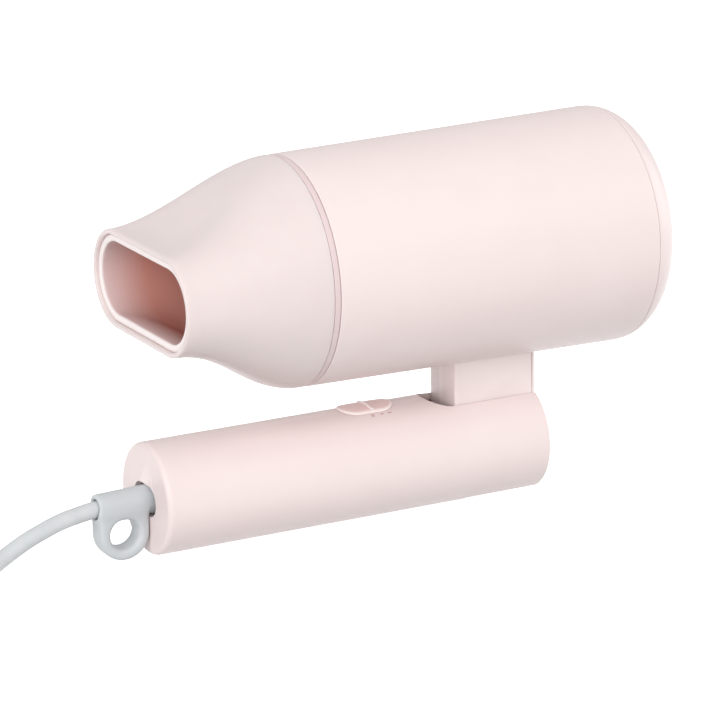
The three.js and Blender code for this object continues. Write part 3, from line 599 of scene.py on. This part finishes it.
def add_stage():
    """A pale, faintly glowing floor that runs out of sight, an even sky and large softboxes."""
    world = bpy.data.worlds.new("studio")
    world.use_nodes = True
    world.node_tree.nodes["Background"].inputs["Color"].default_value = (1, 1, 1, 1)
    world.node_tree.nodes["Background"].inputs["Strength"].default_value = 0.48
    bpy.context.scene.world = world
    half = 6000
    corners = [(-half, -half, 0), (half, -half, 0), (half, half, 0), (-half, half, 0)]
    floor = make("floor", (corners, [(0, 1, 2, 3)]), ORIGIN)
    m = Nodes("floor_paper", Roughness=0.9, Specular_IOR_Level=0.1, Emission_Strength=0.8)
    m.shader.inputs["Emission Color"].default_value = (1, 1, 1, 1)
    m.feed("Base Color", m.blend(m.noise(4, 2), tint("fbfbfb"), tint("fefefe")))
    floor.data.materials.append(m.material)
    floor.visible_diffuse = False
    add_softbox("front_softbox", (-0.35, -1.75, 0.95), (3.0, 2.2), 22)
    add_softbox("top_softbox", (0.1, 0.2, 1.8), (2.2, 2.2), 3.5)
    add_softbox("right_softbox", (1.7, -0.4, 0.5), (1.4, 1.2), 15)
    add_softbox("left_softbox", (-1.7, -0.8, 0.8), (1.2, 1.2), 19)
    add_softbox("back_softbox", (0.3, 1.9, 0.9), (2.4, 1.6), 4)
    bpy.context.scene.view_settings.view_transform = "Standard"


add_camera()
add_stage()

# ---- Cord: the run from the strain relief, the tied coil and the tail to the plug ----
CORD_REST = CORD_R + 0.1
CORD_RUN = [
    (-84.85, 0, 15.35), (-90, 0, 14.6), (-95, 0, 13.6), (-101, 0, 11.6), (-106, -0.1, 9.6),
    (-112, -0.9, 6.9), (-118, -3, 4.6), (-124, -6.6, 3.1), (-129.5, -11.9, CORD_REST),
    (-134.5, -17.6, CORD_REST), (-140, -21.9, CORD_REST), (-146, -24.8, CORD_REST),
    (-152.3, -26.2, CORD_REST),
]
COIL_AT = ((COIL_LOW + COIL_HIGH) / 2) / MM
COIL_PITCH = 4.8  # between turns that lie side by side
COIL_RISE = 4.85  # from the lower layer to the upper one
COIL_START_R = 38.5
COIL_SLOTS = 4  # turns in each layer
POINTS_PER_TURN = 18
TIE_ANGLE = math.radians(112)
TIE_LIFT = 0.6  # how far the strap under the coil raises the turns that cross it
TIE_HALF = math.radians(12)  # half the part of a turn that lies on the strap
TIE_REACH = math.radians(55)  # over which a turn comes back down
PLUG_AT = Vector((PLUG_ENTRY.x, -22, 7.6))
CORD_TAIL = [
    (-180, -26.5, 7.35), (-187, -26.5, 7.3), (-194.4, -25.95, 7.2), (-198, -25.1, 7.15),
    (-201.5, -23.95, 7.15), (-205, -22.95, 7.25), (-209, -22.25, 7.4),
    (PLUG_AT.x + 0.3, PLUG_AT.y, 7.55), (PLUG_AT.x - 4, PLUG_AT.y, PLUG_AT.z),
]
RECESS = 3  # depth of the strain relief's hole for the cord
# The jacket's end reaches just into the recess's floor.
CORD_INSIDE = (RELIEF_FACE + RECESS + 0.2) + HANDLE_AT.x / MM
COIL_ENTRY = [(-159, -26.5, CORD_REST), (-166, -26.5, CORD_REST)]


def eased(value, start, length):
    """A smooth step from 0 to 1 over a length from start."""
    share = min(max((value - start) / length, 0.0), 1.0)
    return share * share * (3 - 2 * share)


def coil_points():
    """Two flat spirals, inwards on the floor and back outwards on top, clockwise from above."""
    points = []
    for k in range(2 * COIL_SLOTS * POINTS_PER_TURN + 1):
        turns = k / POINTS_PER_TURN
        radius = COIL_START_R - COIL_PITCH * (COIL_SLOTS - abs(turns - COIL_SLOTS))
        height = CORD_REST + COIL_RISE * eased(turns, COIL_SLOTS - 0.25, 0.5)
        angle = -math.pi / 2 - 2 * math.pi * turns
        away = abs((angle - TIE_ANGLE + math.pi) % (2 * math.pi) - math.pi)
        height += TIE_LIFT * (1 - eased(away, TIE_HALF, TIE_REACH))
        x, y = COIL_AT.x + radius * math.cos(angle), COIL_AT.y + radius * math.sin(angle)
        points.append((x, y, height))
    return points


def add_cord():
    """The whole cord as one curve, from the strain relief's recess to inside the plug's sleeve."""
    start = (CORD_INSIDE, 0, CORD_RUN[0][2] + 0.05)
    points = [start, *CORD_RUN, *COIL_ENTRY, *coil_points(), *CORD_TAIL]
    data = bpy.data.curves.new("cord", "CURVE")
    data.dimensions = "3D"
    data.bevel_depth = CORD_R * MM
    data.bevel_resolution = 5
    data.resolution_u = 5
    data.use_fill_caps = True
    line = data.splines.new("BEZIER")
    line.bezier_points.add(len(points) - 1)
    for knot, place in zip(line.bezier_points, points):
        knot.co = Vector(place) * MM
        knot.handle_left_type = knot.handle_right_type = "AUTO"
    data.materials.append(JACKET)
    cord = bpy.data.objects.new("mains_cord", data)
    bpy.context.scene.collection.objects.link(cord)
    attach(cord, "handle")
    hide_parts("cord_run", "cord_coil", "cord_tail")
    return cord


def add_tie():
    """A webbing strap round the coil's bundle, with its free end lying on top."""
    inner, outer = COIL_START_R - COIL_SLOTS * COIL_PITCH - CORD_R, COIL_START_R + CORD_R
    top = CORD_REST + COIL_RISE + CORD_R + TIE_LIFT
    thick, half_width, under = 0.6, 4.5, 0.03
    gap = 0.08  # between the strap and the outermost turns

    def section(grow, bottom, low_r, high_r):
        left, right, high = inner - grow, outer + grow, top + grow
        return rounded([(left, bottom, low_r), (right, bottom, low_r),
                        (right, high, high_r), (left, high, high_r)], 8)

    out, room = section(thick, under, 2.4, 2.8), section(gap, 0.5, 2, 2.3)
    sides = ((out, -half_width), (out, half_width), (room, half_width), (room, -half_width))
    rings = [[(x, y, z) for x, z in line] for line, y in sides]
    strap = make("tie_strap", joined_rings(rings, True), ORIGIN)
    start, end, side = inner + 3, outer - 4, half_width - 0.4
    tab = rounded([(start, -side, 1.6), (end, -side, 0.4), (end, side, 0.4), (start, side, 1.6)], 6)
    tab = prism(tab, top + thick - 0.1, top + thick + 0.5, "z")
    strap = changed(strap, "UNION", make("tie_tab", tab, ORIGIN))
    strap = bevelled(strap, 0.15, 2)
    turn = Quaternion((0, 0, 1), TIE_ANGLE)
    strap.data.transform(turn.to_matrix().to_4x4())
    for vertex in strap.data.vertices:
        vertex.co += Vector((COIL_AT.x, COIL_AT.y, 0)) * MM
    strap.name = "cord_tie"
    return finished(strap, "handle", TIE_GREY, "cord_grey")


def add_plug():
    """The moulded plug: a ribbed sleeve, a rounded flat body with grip grooves and two flat blades."""
    origin = PLUG_AT * MM
    sleeve_end = -10
    sleeve = [(0.0, 2.3), (-0.2, 3.0), (-0.6, 3.3)]
    for k in range(3):
        x = -1.4 - 2.6 * k
        r = 3.4 + 0.35 * k
        sleeve += [(x, r), (x - 0.3, r - 0.7), (x - 0.9, r - 0.7), (x - 1.2, r + 0.15)]
    sleeve += [(sleeve_end, 4.6), (sleeve_end, 2.3)]
    relief = finished(make("plug_sleeve", turned(sleeve, 64), origin), "handle", GREY, "grey_rubber",
                      "plug_strain_relief")

    front = sleeve_end - GAP
    half = [(0, 5.5), (-4, 8), (-11, 8.8), (-19, 9.4), (-26, 11.3), (-30.5, 11.8), (-32, 10.6)]
    outline = [(front + x, y) for x, y in half] + [(front + x, -y) for x, y in reversed(half)]
    block = make("plug_moulding", prism(outline, -PLUG_AT.z + 0.05, PLUG_AT.z - 0.6, "z"), origin)
    grips = []
    for k in range(4):
        for side in (-1, 1):
            groove = prism(arc(-17.5 - 3 * k, side * 9.6, 0.9, 0, 330, 11), -4.5, 4.0, "z")
            grips.append(make("grip", groove, origin))
    block = softened(changed(block, "DIFFERENCE", *grips), 0.4, 5)
    block.name = "plug_moulding"
    moulding = finished(block, "handle", PLUG_GREY, "plug_grey", "plug_body", angle=60)

    pieces = [relief, moulding]
    half_height, length, half_thick, spacing = 3.17, 17.45, 0.76, 12.7
    blade = rounded([(0, half_height, 0), (0, -half_height, 0),
                     (-length, -half_height, 1.3), (-length, half_height, 1.3)], 6)
    for number, side in ((1, -1), (2, 1)):
        place = origin + Vector((-42 - 2 * GAP, spacing / 2 * side, 0)) * MM
        thing = make(f"plug_blade_flat_{number}", prism(blade, -half_thick, half_thick, "y"), place)
        thing = bevelled(thing, 0.25, 2)
        pieces.append(finished(thing, "handle", NICKEL, "nickel_plate", f"plug_blade_{number}"))
    return pieces


cord = add_cord()
tie = add_tie()
plug = add_plug()


# ---- Nozzle ----
def taper(x):
    """How much of the round base is left at x: 1 at the barrel, 0 at the mouth."""
    return 0.5 * (1 + math.cos(math.pi * abs(x / MOUTH_X) ** NOZZLE_EASE))


def stadium_ring(x, half_width, half_height, count=176):
    """A stadium across the nozzle, with its points at equal angles round the axis."""
    side = max(half_width - half_height, 0.0)
    ring = []
    for k in range(count):
        angle = 2 * math.pi * (k + 0.5) / count
        c, s = abs(math.cos(angle)), abs(math.sin(angle))
        reach = half_height / s
        if reach * c > side:
            reach = side * c + math.sqrt(half_height ** 2 - (side * s) ** 2)
        ring.append((x, reach * math.cos(angle), reach * math.sin(angle)))
    return ring


def wall_rings(stations, outside, inside, nose):
    """Rings out along a wall's outside, round its nose at the last station, and back inside."""
    rings = [stadium_ring(x, *outside(x)) for x in stations]
    end = stations[-1]
    outer, inner = outside(end), inside(end)
    for k in range(1, 8):
        angle = math.pi * k / 8
        share = (1 - math.cos(angle)) / 2
        a, b = (o + (i - o) * share for o, i in zip(outer, inner))
        rings.append(stadium_ring(end - nose * math.sin(angle), a, b))
    return rings + [stadium_ring(x, *inside(x)) for x in reversed(stations)]


def add_nozzle():
    """The nozzle's frosted shell and its rose liner, both from round to stadium."""
    def shell(inset):
        def size(x):
            left = taper(x)
            return (MOUTH_W + (FRONT_R - MOUTH_W) * left - inset,
                    MOUTH_H + (FRONT_R - MOUTH_H) * left - inset)
        return size

    nose = 0.45  # half the wall's thickness at its rounded front edge
    back = SEAM - 0.35
    stations = [back + (MOUTH_X + nose - back) * k / 48 for k in range(49)]
    rings = wall_rings(stations, shell(0), shell(NOZZLE_WALL), nose)
    base_out, base_in = shell(0)(0), shell(NOZZLE_WALL)(0)
    rings += [stadium_ring(SEAM, *base_in), stadium_ring(SEAM, *(v - 0.4 for v in base_out)),
              stadium_ring(SEAM - 0.1, *(v - 0.12 for v in base_out))]
    finished(make("nozzle_outer", joined_rings(rings, True), BARREL_AT), "nozzle", FROSTED,
             "frosted_shell", "nozzle_shell")

    base, mouth = taper(LINER_BASE_X), taper(LINER_MOUTH_X)

    def liner(wall, lip=0.0):
        def size(x):
            left = (taper(x) - mouth) / (base - mouth)
            extra = wall + lip * eased(LIP_START - x, 0, LIP_START - LINER_MOUTH_X)
            return (LINER_W + (LINER_BASE_R - LINER_W) * left + extra,
                    LINER_H + (LINER_BASE_R - LINER_H) * left + extra)
        return size

    stations = [LINER_BASE_X + (LINER_MOUTH_X + nose - LINER_BASE_X) * k / 40 for k in range(41)]
    rings = wall_rings(stations, liner(LINER_WALL - 0.05, 0.78), liner(0), nose)
    rings = [stadium_ring(-2 * GAP, r, r) for r in (LINER_BASE_R, LINER_BASE_R + 1)] + rings
    finished(make("nozzle_inner", joined_rings(rings, True), BARREL_AT), "nozzle", LINER,
             "rose_plastic", "nozzle_liner")


# ---- Barrel ----
def barrel_radius(x):
    """The barrel's outside radius at x, widening evenly to the rear."""
    return FRONT_R + (REAR_R - FRONT_R) * x / (BARREL_END - REAR_ROUNDING)


def rear_arc(inset, start_x, steps):
    """The rounded rear edge from start_x back to the flat rear face, as (x, r) points."""
    radius = REAR_ROUNDING - inset
    tangent = BARREL_END - REAR_ROUNDING
    first = math.degrees(math.asin(min((start_x - tangent) / radius, 1)))
    return [(tangent + a, REAR_R - REAR_ROUNDING + b) for b, a in arc(0, 0, radius, first, 90, steps)]


def add_barrel():
    """The barrel's tube, the collar at the nozzle's seam and the rounded rear cap."""
    front, back = COLLAR_EDGE + COLLAR_SLIT, REAR_SEAM - REAR_SLIT
    tangent = BARREL_END - REAR_ROUNDING
    edge = rear_arc(0, back, 1)[0][1]
    outline = rounded([
        (front, barrel_radius(front), 0.3), (tangent, REAR_R, 0), (back, edge, 0.2),
        (back, edge - WALL, 0), (tangent, REAR_R - WALL, 0), (front, barrel_radius(front) - WALL, 0),
    ], 4)
    shell = make("barrel_tube", turned(outline), BARREL_AT)
    opening = make("neck_hole", prism(box_outline(*SPIGOT_HOLE), -40, -25, "z"), BARREL_AT)
    shell = changed(shell, "DIFFERENCE", opening)
    finished(shell, "barrel", PINK_SATIN, "pink_shell", "barrel_shell")

    r = FRONT_R - 0.12
    nose_r, groove_r, bore_r, spigot_r = 27.4, 26.4, 25.4, 30.3
    outline = rounded([
        (-5, nose_r, 0.2), (-3.8, nose_r, 0.1), (-3.8, groove_r, 0), (-2.2, groove_r, 0),
        (-2.2, nose_r, 0.1), (COLLAR_FACE, nose_r, 0), (COLLAR_FACE, r, 0.25), (COLLAR_EDGE, r, 0.25),
        (COLLAR_EDGE, spigot_r, 0), (9, spigot_r, 0.2), (9, spigot_r - 1.5, 0.2),
        (COLLAR_EDGE, bore_r, 0.3), (-5, bore_r, 0.3),
    ], 4)
    # The collar is coloured darker than the shells: painted shade in the seam's recess.
    finished(make("collar_ring", turned(outline), BARREL_AT), "barrel", COLLAR_SHADED_PINK, "pink_shell",
             "front_collar")

    start = REAR_SEAM + REAR_SLIT
    edge = rear_arc(0, start, 1)[0][1]
    tongue_r, tongue_x = 31.6, 98
    outline = [
        (start, edge - 0.3), (start + 0.08, edge - 0.1), *rear_arc(0, start + 0.25, 18),
        (BARREL_END, INLET_R + 0.5), (BARREL_END - 0.12, INLET_R + 0.12), (BARREL_END - 0.5, INLET_R),
        (BARREL_END - WALL, INLET_R), *reversed(rear_arc(WALL, 105.9, 8)),
        (tongue_x, tongue_r - 1.4), (tongue_x, tongue_r), (start, tongue_r),
    ]
    finished(make("rear_cap", turned(outline), BARREL_AT), "barrel", PINK_SATIN, "pink_shell",
             "rear_cover")


def slotted_disc(name, radius, rings, sectors, x0, x1):
    """A disc across the barrel with rings of curved slots, all edges rounded."""
    half_spoke, rounding = 0.9, 0.22
    data = bpy.data.curves.new(name, "CURVE")
    data.dimensions = "2D"
    data.fill_mode = "BOTH"
    data.bevel_depth = rounding * MM
    data.bevel_resolution = 2
    data.offset = -rounding * MM
    data.extrude = ((x1 - x0) / 2 - rounding) * MM
    outlines = [arc(0, 0, radius, 0, 357.5, 143)]
    for inner, outer in rings:
        half = 180 / sectors - math.degrees(half_spoke / inner)
        for k in range(sectors):
            middle = 360 * (k + 0.5) / sectors
            outlines.append(arc(0, 0, inner, middle + half, middle - half, 14)
                            + arc(0, 0, outer, middle - half, middle + half, 14))
    for outline in outlines:
        line = data.splines.new("POLY")
        line.points.add(len(outline) - 1)
        line.use_cyclic_u = True
        for point, (a, b) in zip(line.points, outline):
            point.co = (a * MM, b * MM, 0, 1)
    curve = bpy.data.objects.new(name, data)
    bpy.context.scene.collection.objects.link(curve)
    bpy.context.view_layer.update()
    disc = welded(baked(curve))
    for vertex in disc.data.vertices:
        a, b, c = vertex.co
        vertex.co = BARREL_AT + Vector(((x0 + x1) / 2 * MM + c, a, b))
    return disc


def add_grilles():
    """The rear inlet grille and the dark outlet grille behind the nozzle."""
    slots = [(5, 9), (10.8, 14.8), (16.6, 20.6)]
    inlet = slotted_disc("inlet_slots", INLET_R - GAP, slots, 8, 108, 109.9)
    finished(inlet, "barrel", PINK_SATIN, "pink_shell", "inlet_grille")
    outlet = slotted_disc("outlet_slots", 25.1, [(6, 11.5), (13.5, 22.5)], 6, -1, 0.8)
    finished(outlet, "barrel", DARK, "heat_plastic", "outlet_grille")


# ---- Neck ----
COLUMN_TOP = -25  # inside the barrel, where the saddle cuts the column off
SPIGOT_TOP = -31.4
KNUCKLE_EASE = 0.9  # how far the knuckle's ends are rounded down


def barrel_plug():
    """The barrel's conical outside as a cutter, grown by the saddle's gap."""
    x0, x1 = 40, 90
    ends = [(x0, 0), (x0, barrel_radius(x0) + SADDLE_GAP), (x1, barrel_radius(x1) + SADDLE_GAP), (x1, 0)]
    return make("saddle", turned(ends, 192), BARREL_AT)


def add_neck():
    """The neck's column with its knuckle, bores, seats and wire duct, and the cover strip behind it."""
    front = PIVOT_X + NECK_FRONT
    inner_back = NECK_BACK - NECK_COVER  # where the rear cover starts
    back = PIVOT_X + inner_back - SLIT
    bulge = 0.5  # of the slightly bowed front
    corner = 0.6
    half = NECK_HALF - HAIR
    straight = half - corner
    sweep = [straight * (k / 8 - 1) for k in range(17)]
    bowed = [(front - bulge * (1 - (y / straight) ** 2), y) for y in sweep]
    plan = (arc(front + corner, -straight, corner, 270, 190, 6) + bowed
            + arc(front + corner, straight, corner, 170, 90, 6) + [(back, half), (back, -half)])
    column = make("neck_column", prism(plan, -AXIS_DROP, COLUMN_TOP, "z"), BARREL_AT)
    column = changed(column, "DIFFERENCE", barrel_plug())

    rim = [(y, math.sqrt(KNUCKLE_R ** 2 - y ** 2)) for y in
           (NECK_HALF * (k / 12 * 2 - 1) * 0.94 for k in range(13))]
    outline = [(-NECK_HALF, rim[0][1] - KNUCKLE_EASE), *rim, (NECK_HALF, rim[-1][1] - KNUCKLE_EASE)]
    verts, faces = turned(outline, 160, False)
    knuckle = make("knuckle", ([(y, x, z) for x, y, z in verts], faces), HANDLE_AT)
    behind = make("behind", prism(box_outline(inner_back - SLIT, 40, 0.2, 60), -20, 20, "y"), HANDLE_AT)
    piece = changed(column, "UNION", knuckle)
    piece = changed(piece, "DIFFERENCE", behind)
    spigot = make("spigot", prism(box_outline(*SPIGOT), -40, SPIGOT_TOP, "z"), BARREL_AT)
    piece = changed(piece, "UNION", spigot)

    duct_x, duct_y, duct_z = PIVOT_X + 5.5, 3.2, -AXIS_DROP - 8
    seat = NECK_HALF - 1  # a washer seat is 1 mm deep on each side
    rods = [
        prism(hole(duct_x, duct_y, DUCT_R), duct_z, -20, "z"),
        prism(hole(duct_y, duct_z, DUCT_R), PIVOT_X - 20, duct_x + 0.5, "x"),
        *(prism(hole(x, 0, SCREW_HOLE_R), -41, -20, "z") for x in NECK_SCREWS),
        prism(hole(PIVOT_X, -AXIS_DROP, PIN_R + GAP), -20, 20, "y"),
        prism(hole(PIVOT_X, -AXIS_DROP, WASHER_SEAT_R), seat, seat + 6, "y"),
        prism(hole(PIVOT_X, -AXIS_DROP, WASHER_SEAT_R), -seat - 6, -seat, "y"),
    ]
    for rod in rods:
        piece = changed(piece, "DIFFERENCE", make("rod", rod, BARREL_AT))
    piece = merged_flats(piece)
    piece.name = "neck_moulding"
    finished(piece, "barrel", PINK, "pink_shell", "neck", angle=22, flat_faces=True)

    x0, x1 = PIVOT_X + inner_back, PIVOT_X + NECK_BACK
    cover = rounded([(x0, NECK_HALF, 0.15), (x1, NECK_HALF, 0.6),
                     (x1, -NECK_HALF, 0.6), (x0, -NECK_HALF, 0.15)], 6)
    strip = make("neck_strip", prism(cover, -AXIS_DROP + 0.5, COLUMN_TOP, "z"), BARREL_AT)
    strip = changed(strip, "DIFFERENCE", barrel_plug())
    strip.name = "neck_strip"
    finished(strip, "barrel", PINK, "pink_shell", "neck_rear_cover", flat_faces=True)


# ---- Handle ----
def add_handle():
    """The handle's tube with a rounded front end, its slots and the oblong hole for the cord."""
    fillet = 1.7
    bore, wall_front = HANDLE_R - WALL, HANDLE_FRONT + WALL
    outline = rounded([
        (HANDLE_FRONT, 0, 0), (HANDLE_FRONT, HANDLE_R, fillet), (HANDLE_R, HANDLE_R, 0.5),
        (HANDLE_R, bore, 0.2), (wall_front, bore, 0.5), (wall_front, 0, 0),
    ], 8)
    tube = make("handle_tube", turned(outline, 160), HANDLE_AT)
    slot = arc(SLOT_FRONT, 0, SLOT_HALF, 90, 270, 32) + [(20, -SLOT_HALF), (20, SLOT_HALF)]
    pad_slot = box_outline(PAD_X - 2.9, PAD_X + 8.1, -1.8, 1.8)
    end_slot = box_outline(-SLOT_HALF, 20, -SLOT_HALF, SLOT_HALF)
    cuts = [
        ("top_slot", prism(slot, 0, 20, "z")),
        ("end_slot", prism(end_slot, -20, 5, "z")),
        ("pad_slot", prism(pad_slot, 10, 20, "z")),
        ("cord_hole", prism(stadium(7.0, 4.4), HANDLE_FRONT - 5, HANDLE_FRONT + 5, "x")),
    ]
    tube = changed(tube, "DIFFERENCE", *(make(name, shape, HANDLE_AT) for name, shape in cuts))
    tube = bevelled(merged_flats(tube), 0.3, 3, 40)
    tube.name = "handle_tube"
    finished(tube, "handle", PINK, "pink_shell", "handle_shell", angle=25, flat_faces=True)


def on_handle(x, y, rise):
    """A point of the handle's outside under plan place x, y, raised by rise."""
    return (x, y, math.sqrt((HANDLE_R + rise) ** 2 - y ** 2))


def add_button():
    """The slide button: a crowned stadium pad, its rim and cross rib coloured near white as painted
    highlights, and a small dome at the rib's end coloured near white as a painted glint.
    """
    half_long, half_wide = 8.3, 4.95
    centre_x = PAD_X + 0.15
    under = 0.15  # the pad's underside clears the tube by this much
    rim = [(0, under), (0, 0.3), (0.04, 0.44), (0.14, 0.55), (0.3, 0.62), (0.5, 0.65), (0.68, 0.66),
           (0.68, under)]
    top = [(4.6, under), (3.2, under), (1.6, under), (0.7, under), (0.7, 0.6), (0.76, 0.64),
           (0.9, 0.65), (1.6, 0.65), (3.2, 0.64), (4.6, 0.64)]

    def button_rings(profile):
        rings = []
        for inset, rise in profile:
            line = stadium(half_long - inset, half_wide - inset, centre_x, 0, 24)
            rings.append([on_handle(a, b, rise) for a, b in line])
        return rings

    # The pad's rim band is coloured near white: a painted highlight on its side wall.
    band = make("button_rim", joined_rings(button_rings(rim), True), HANDLE_AT)
    finished(band, "switch_slider", RIB_HIGHLIGHT, "rose_plastic", angle=50)
    pad = make("button_pad", lofted(button_rings(top)), HANDLE_AT)
    stem = prism(box_outline(PAD_X - 2.5, PAD_X + 2.5, -1.4, 1.4), 8.2, HANDLE_R + 0.4, "z")
    pad = changed(pad, "UNION", make("stem", stem, HANDLE_AT))
    pad.name = "button_pad"
    finished(pad, "switch_slider", ROSE, "rose_plastic", "slider_button", angle=50)

    rib_x, base = PAD_X + 0.45, 0.5
    rib_start, rib_length, steps = -3.5, 7.9, 24
    left = [(-0.36, base), (-0.34, 0.85), (-0.25, 1.03), (-0.09, 1.1)]
    across = left + [(-dx, rise) for dx, rise in reversed(left)]
    rows = []
    for k in range(steps + 1):
        y = rib_start + rib_length * k / steps
        end = min(k, steps - k) / 2
        lift = min(1.0, 0.3 + 0.7 * math.sqrt(min(end, 1.0)))
        rows.append([on_handle(rib_x + dx, y, base + (rise - base) * lift) for dx, rise in across])
    # The rib is coloured near white: a painted highlight along it.
    finished(make("button_rib", lofted(rows), HANDLE_AT), "switch_slider", RIB_HIGHLIGHT, "rose_plastic",
             angle=60)

    # The dome at the rib's end is coloured near white: a painted glint.
    dot_x, dot_y, dot_base, dot_r, dot_rise, count = rib_x + 0.3, -3.75, 0.62, 0.62, 0.32, 32
    turns = [2 * math.pi * k / count for k in range(count)]
    rings = []
    for k in range(7):
        up = math.pi / 2 * k / 6
        reach, rise = dot_r * math.cos(up), dot_base + dot_rise * math.sin(up)
        rings.append([on_handle(dot_x + reach * math.cos(t), dot_y + reach * math.sin(t), rise)
                      for t in turns])
    verts, faces = joined_rings(rings, False)
    faces.append(tuple(reversed(range(count))))
    finished(make("button_dot", (verts, faces), HANDLE_AT), "switch_slider", DOT_GLINT, "rose_plastic",
             angle=60)


def add_marks():
    """Three plain position marks beside the button: a ring, a short dash and a long dash."""
    y = -5.85
    low, high = -0.1, 0.03  # a mark's underside in the wall and its top

    def patch(name, outline, opening=None):
        rings = [[on_handle(a, b, h) for a, b in outline] for h in (low, high)]
        if opening:
            rings += [[on_handle(a, b, h) for a, b in opening] for h in (high, low)]
        shape = joined_rings(rings, True) if opening else lofted(rings)
        finished(make(name, shape, HANDLE_AT), "handle", MARK, "rose_plastic", angle=60)

    first = 24.85 - PIVOT_X
    patch("mark_off", arc(first, y, 0.5, 0, 345, 23), arc(first, y, 0.26, 0, 345, 23))
    for name, x0, x1 in (("mark_low", 27.3, 28.3), ("mark_high", 29.6, 30.75)):
        middle = (x0 + x1) / 2 - PIVOT_X
        patch(name, stadium((x1 - x0) / 2, 0.17, middle, y, 6))


# ---- Strain relief and its hanging loop ----
LOOP_X = -112.05
LOOP_Z = -8.2
LOOP_R = 7.5
LOOP_HOLE_R = 4.3
LOOP_HALF = 3.4
LOOP_FILLET = 1.8  # between the loop and the sleeve
SLEEVE_FACE_R = 3.7
SLEEVE_WALL_R = 4.2
FLANGE_W = 10
FLANGE_H = 7
FLANGE_HALF = 0.3
INSIDE = HANDLE_FRONT + WALL + GAP  # just behind the handle's end wall
FLANGE_X = INSIDE + 2.1


def relief_field(x, y, z):
    """The strain relief: a tapering oval sleeve, a hanging loop, a flange and a cord recess."""
    along = np.clip((x - RELIEF_FACE) / (INSIDE - RELIEF_FACE), 0, 1)
    sleeve_r = SLEEVE_FACE_R + (SLEEVE_WALL_R - SLEEVE_FACE_R) * along
    sleeve = slab_field(np.hypot(y, z) - sleeve_r, RELIEF_FACE - x, 0.5)
    from_loop = np.hypot(x - LOOP_X, z - LOOP_Z)
    web = np.maximum(np.abs(x - LOOP_X) - LOOP_R, LOOP_Z - z)
    plate = np.minimum(from_loop - LOOP_R, np.maximum(web, z + 1))
    plate = soft_cut(plate, from_loop - LOOP_HOLE_R, 0.4)
    loop = slab_field(plate, np.abs(y) - LOOP_HALF, 1.3)
    body = np.maximum(soft_union(sleeve, loop, LOOP_FILLET), x - (HANDLE_FRONT - 0.25))
    body = np.minimum(body, sleeve)
    body = np.maximum(body, x - FLANGE_X)
    flange = np.maximum(np.abs(y) - FLANGE_W, np.abs(z) - FLANGE_H)
    flange = slab_field(flange, np.abs(x - FLANGE_X) - FLANGE_HALF, 0.25)
    recess = np.hypot(y, z + 0.5) - (CORD_R + 0.4)
    recess = np.maximum(recess, x - RELIEF_FACE - RECESS)
    return soft_cut(np.minimum(body, flange), recess, 0.35)


def add_strain_relief():
    """Meshes the strain relief's field in a box that holds it with room to spare."""
    room = 0.6
    low = (RELIEF_FACE - room, -FLANGE_W - room, LOOP_Z - LOOP_R - room)
    high = (INSIDE + 3, FLANGE_W + room, FLANGE_H + room)
    piece = make("relief_moulding", field_mesh(relief_field, low, high, 0.3), HANDLE_AT)
    smooth = piece.modifiers.new("smooth", "SMOOTH")
    smooth.factor = 0.5
    smooth.iterations = 3
    piece = baked(piece)
    finished(piece, "handle", GREY, "grey_rubber", "strain_relief", angle=75)


# ---- Carried CAD nodes ----
CARRIED = {
    # The chassis is dark red-brown so that the gaps round the neck read as shade: painted shade.
    CHASSIS_GAP_SHADE: ["handle_chassis"],
    PINK_SATIN: ["hinge_cheek_left", "hinge_cheek_right"],
    DARK: ["cord_clamp", "slider_clip", "switch_actuator", "fan_housing"],
    MICA: ["heater_tube", "heater_board_flat", "heater_board_upright"],
    NICHROME: ["heating_coil"],
    BRASS: ["thermostat", "motor_bush_front", "motor_bush_rear"],
    STEEL: [
        "nozzle_snap_ring", "thermal_fuse", "motor_can", "motor_end_cap", "motor_shaft", "motor_armature",
        "neck_clamp_plate", "neck_screw_1", "neck_screw_2", "hinge_pin", "wave_washer_left",
        "wave_washer_right", "board_screw_1", "board_screw_2", "cord_clamp_screw_1",
        "cord_clamp_screw_2",
    ],
    BOARD_GREEN: ["switch_board", "rectifier_board"],
    FERRITE: ["motor_magnet_left", "motor_magnet_right"],
    FAN_DARK: ["fan_impeller", "switch_body"],
    GAUZE: ["inlet_filter"],
    JACKET: ["cord_inner_end"],
}


def dress_carried_nodes():
    """Gives the CAD nodes that are shown as they are their materials."""
    for material, names in CARRIED.items():
        for name in names:
            for slot in NODES[name].material_slots:
                slot.material = material


add_nozzle()
add_barrel()
add_grilles()
add_neck()
add_handle()
add_button()
add_marks()
add_strain_relief()
dress_carried_nodes()
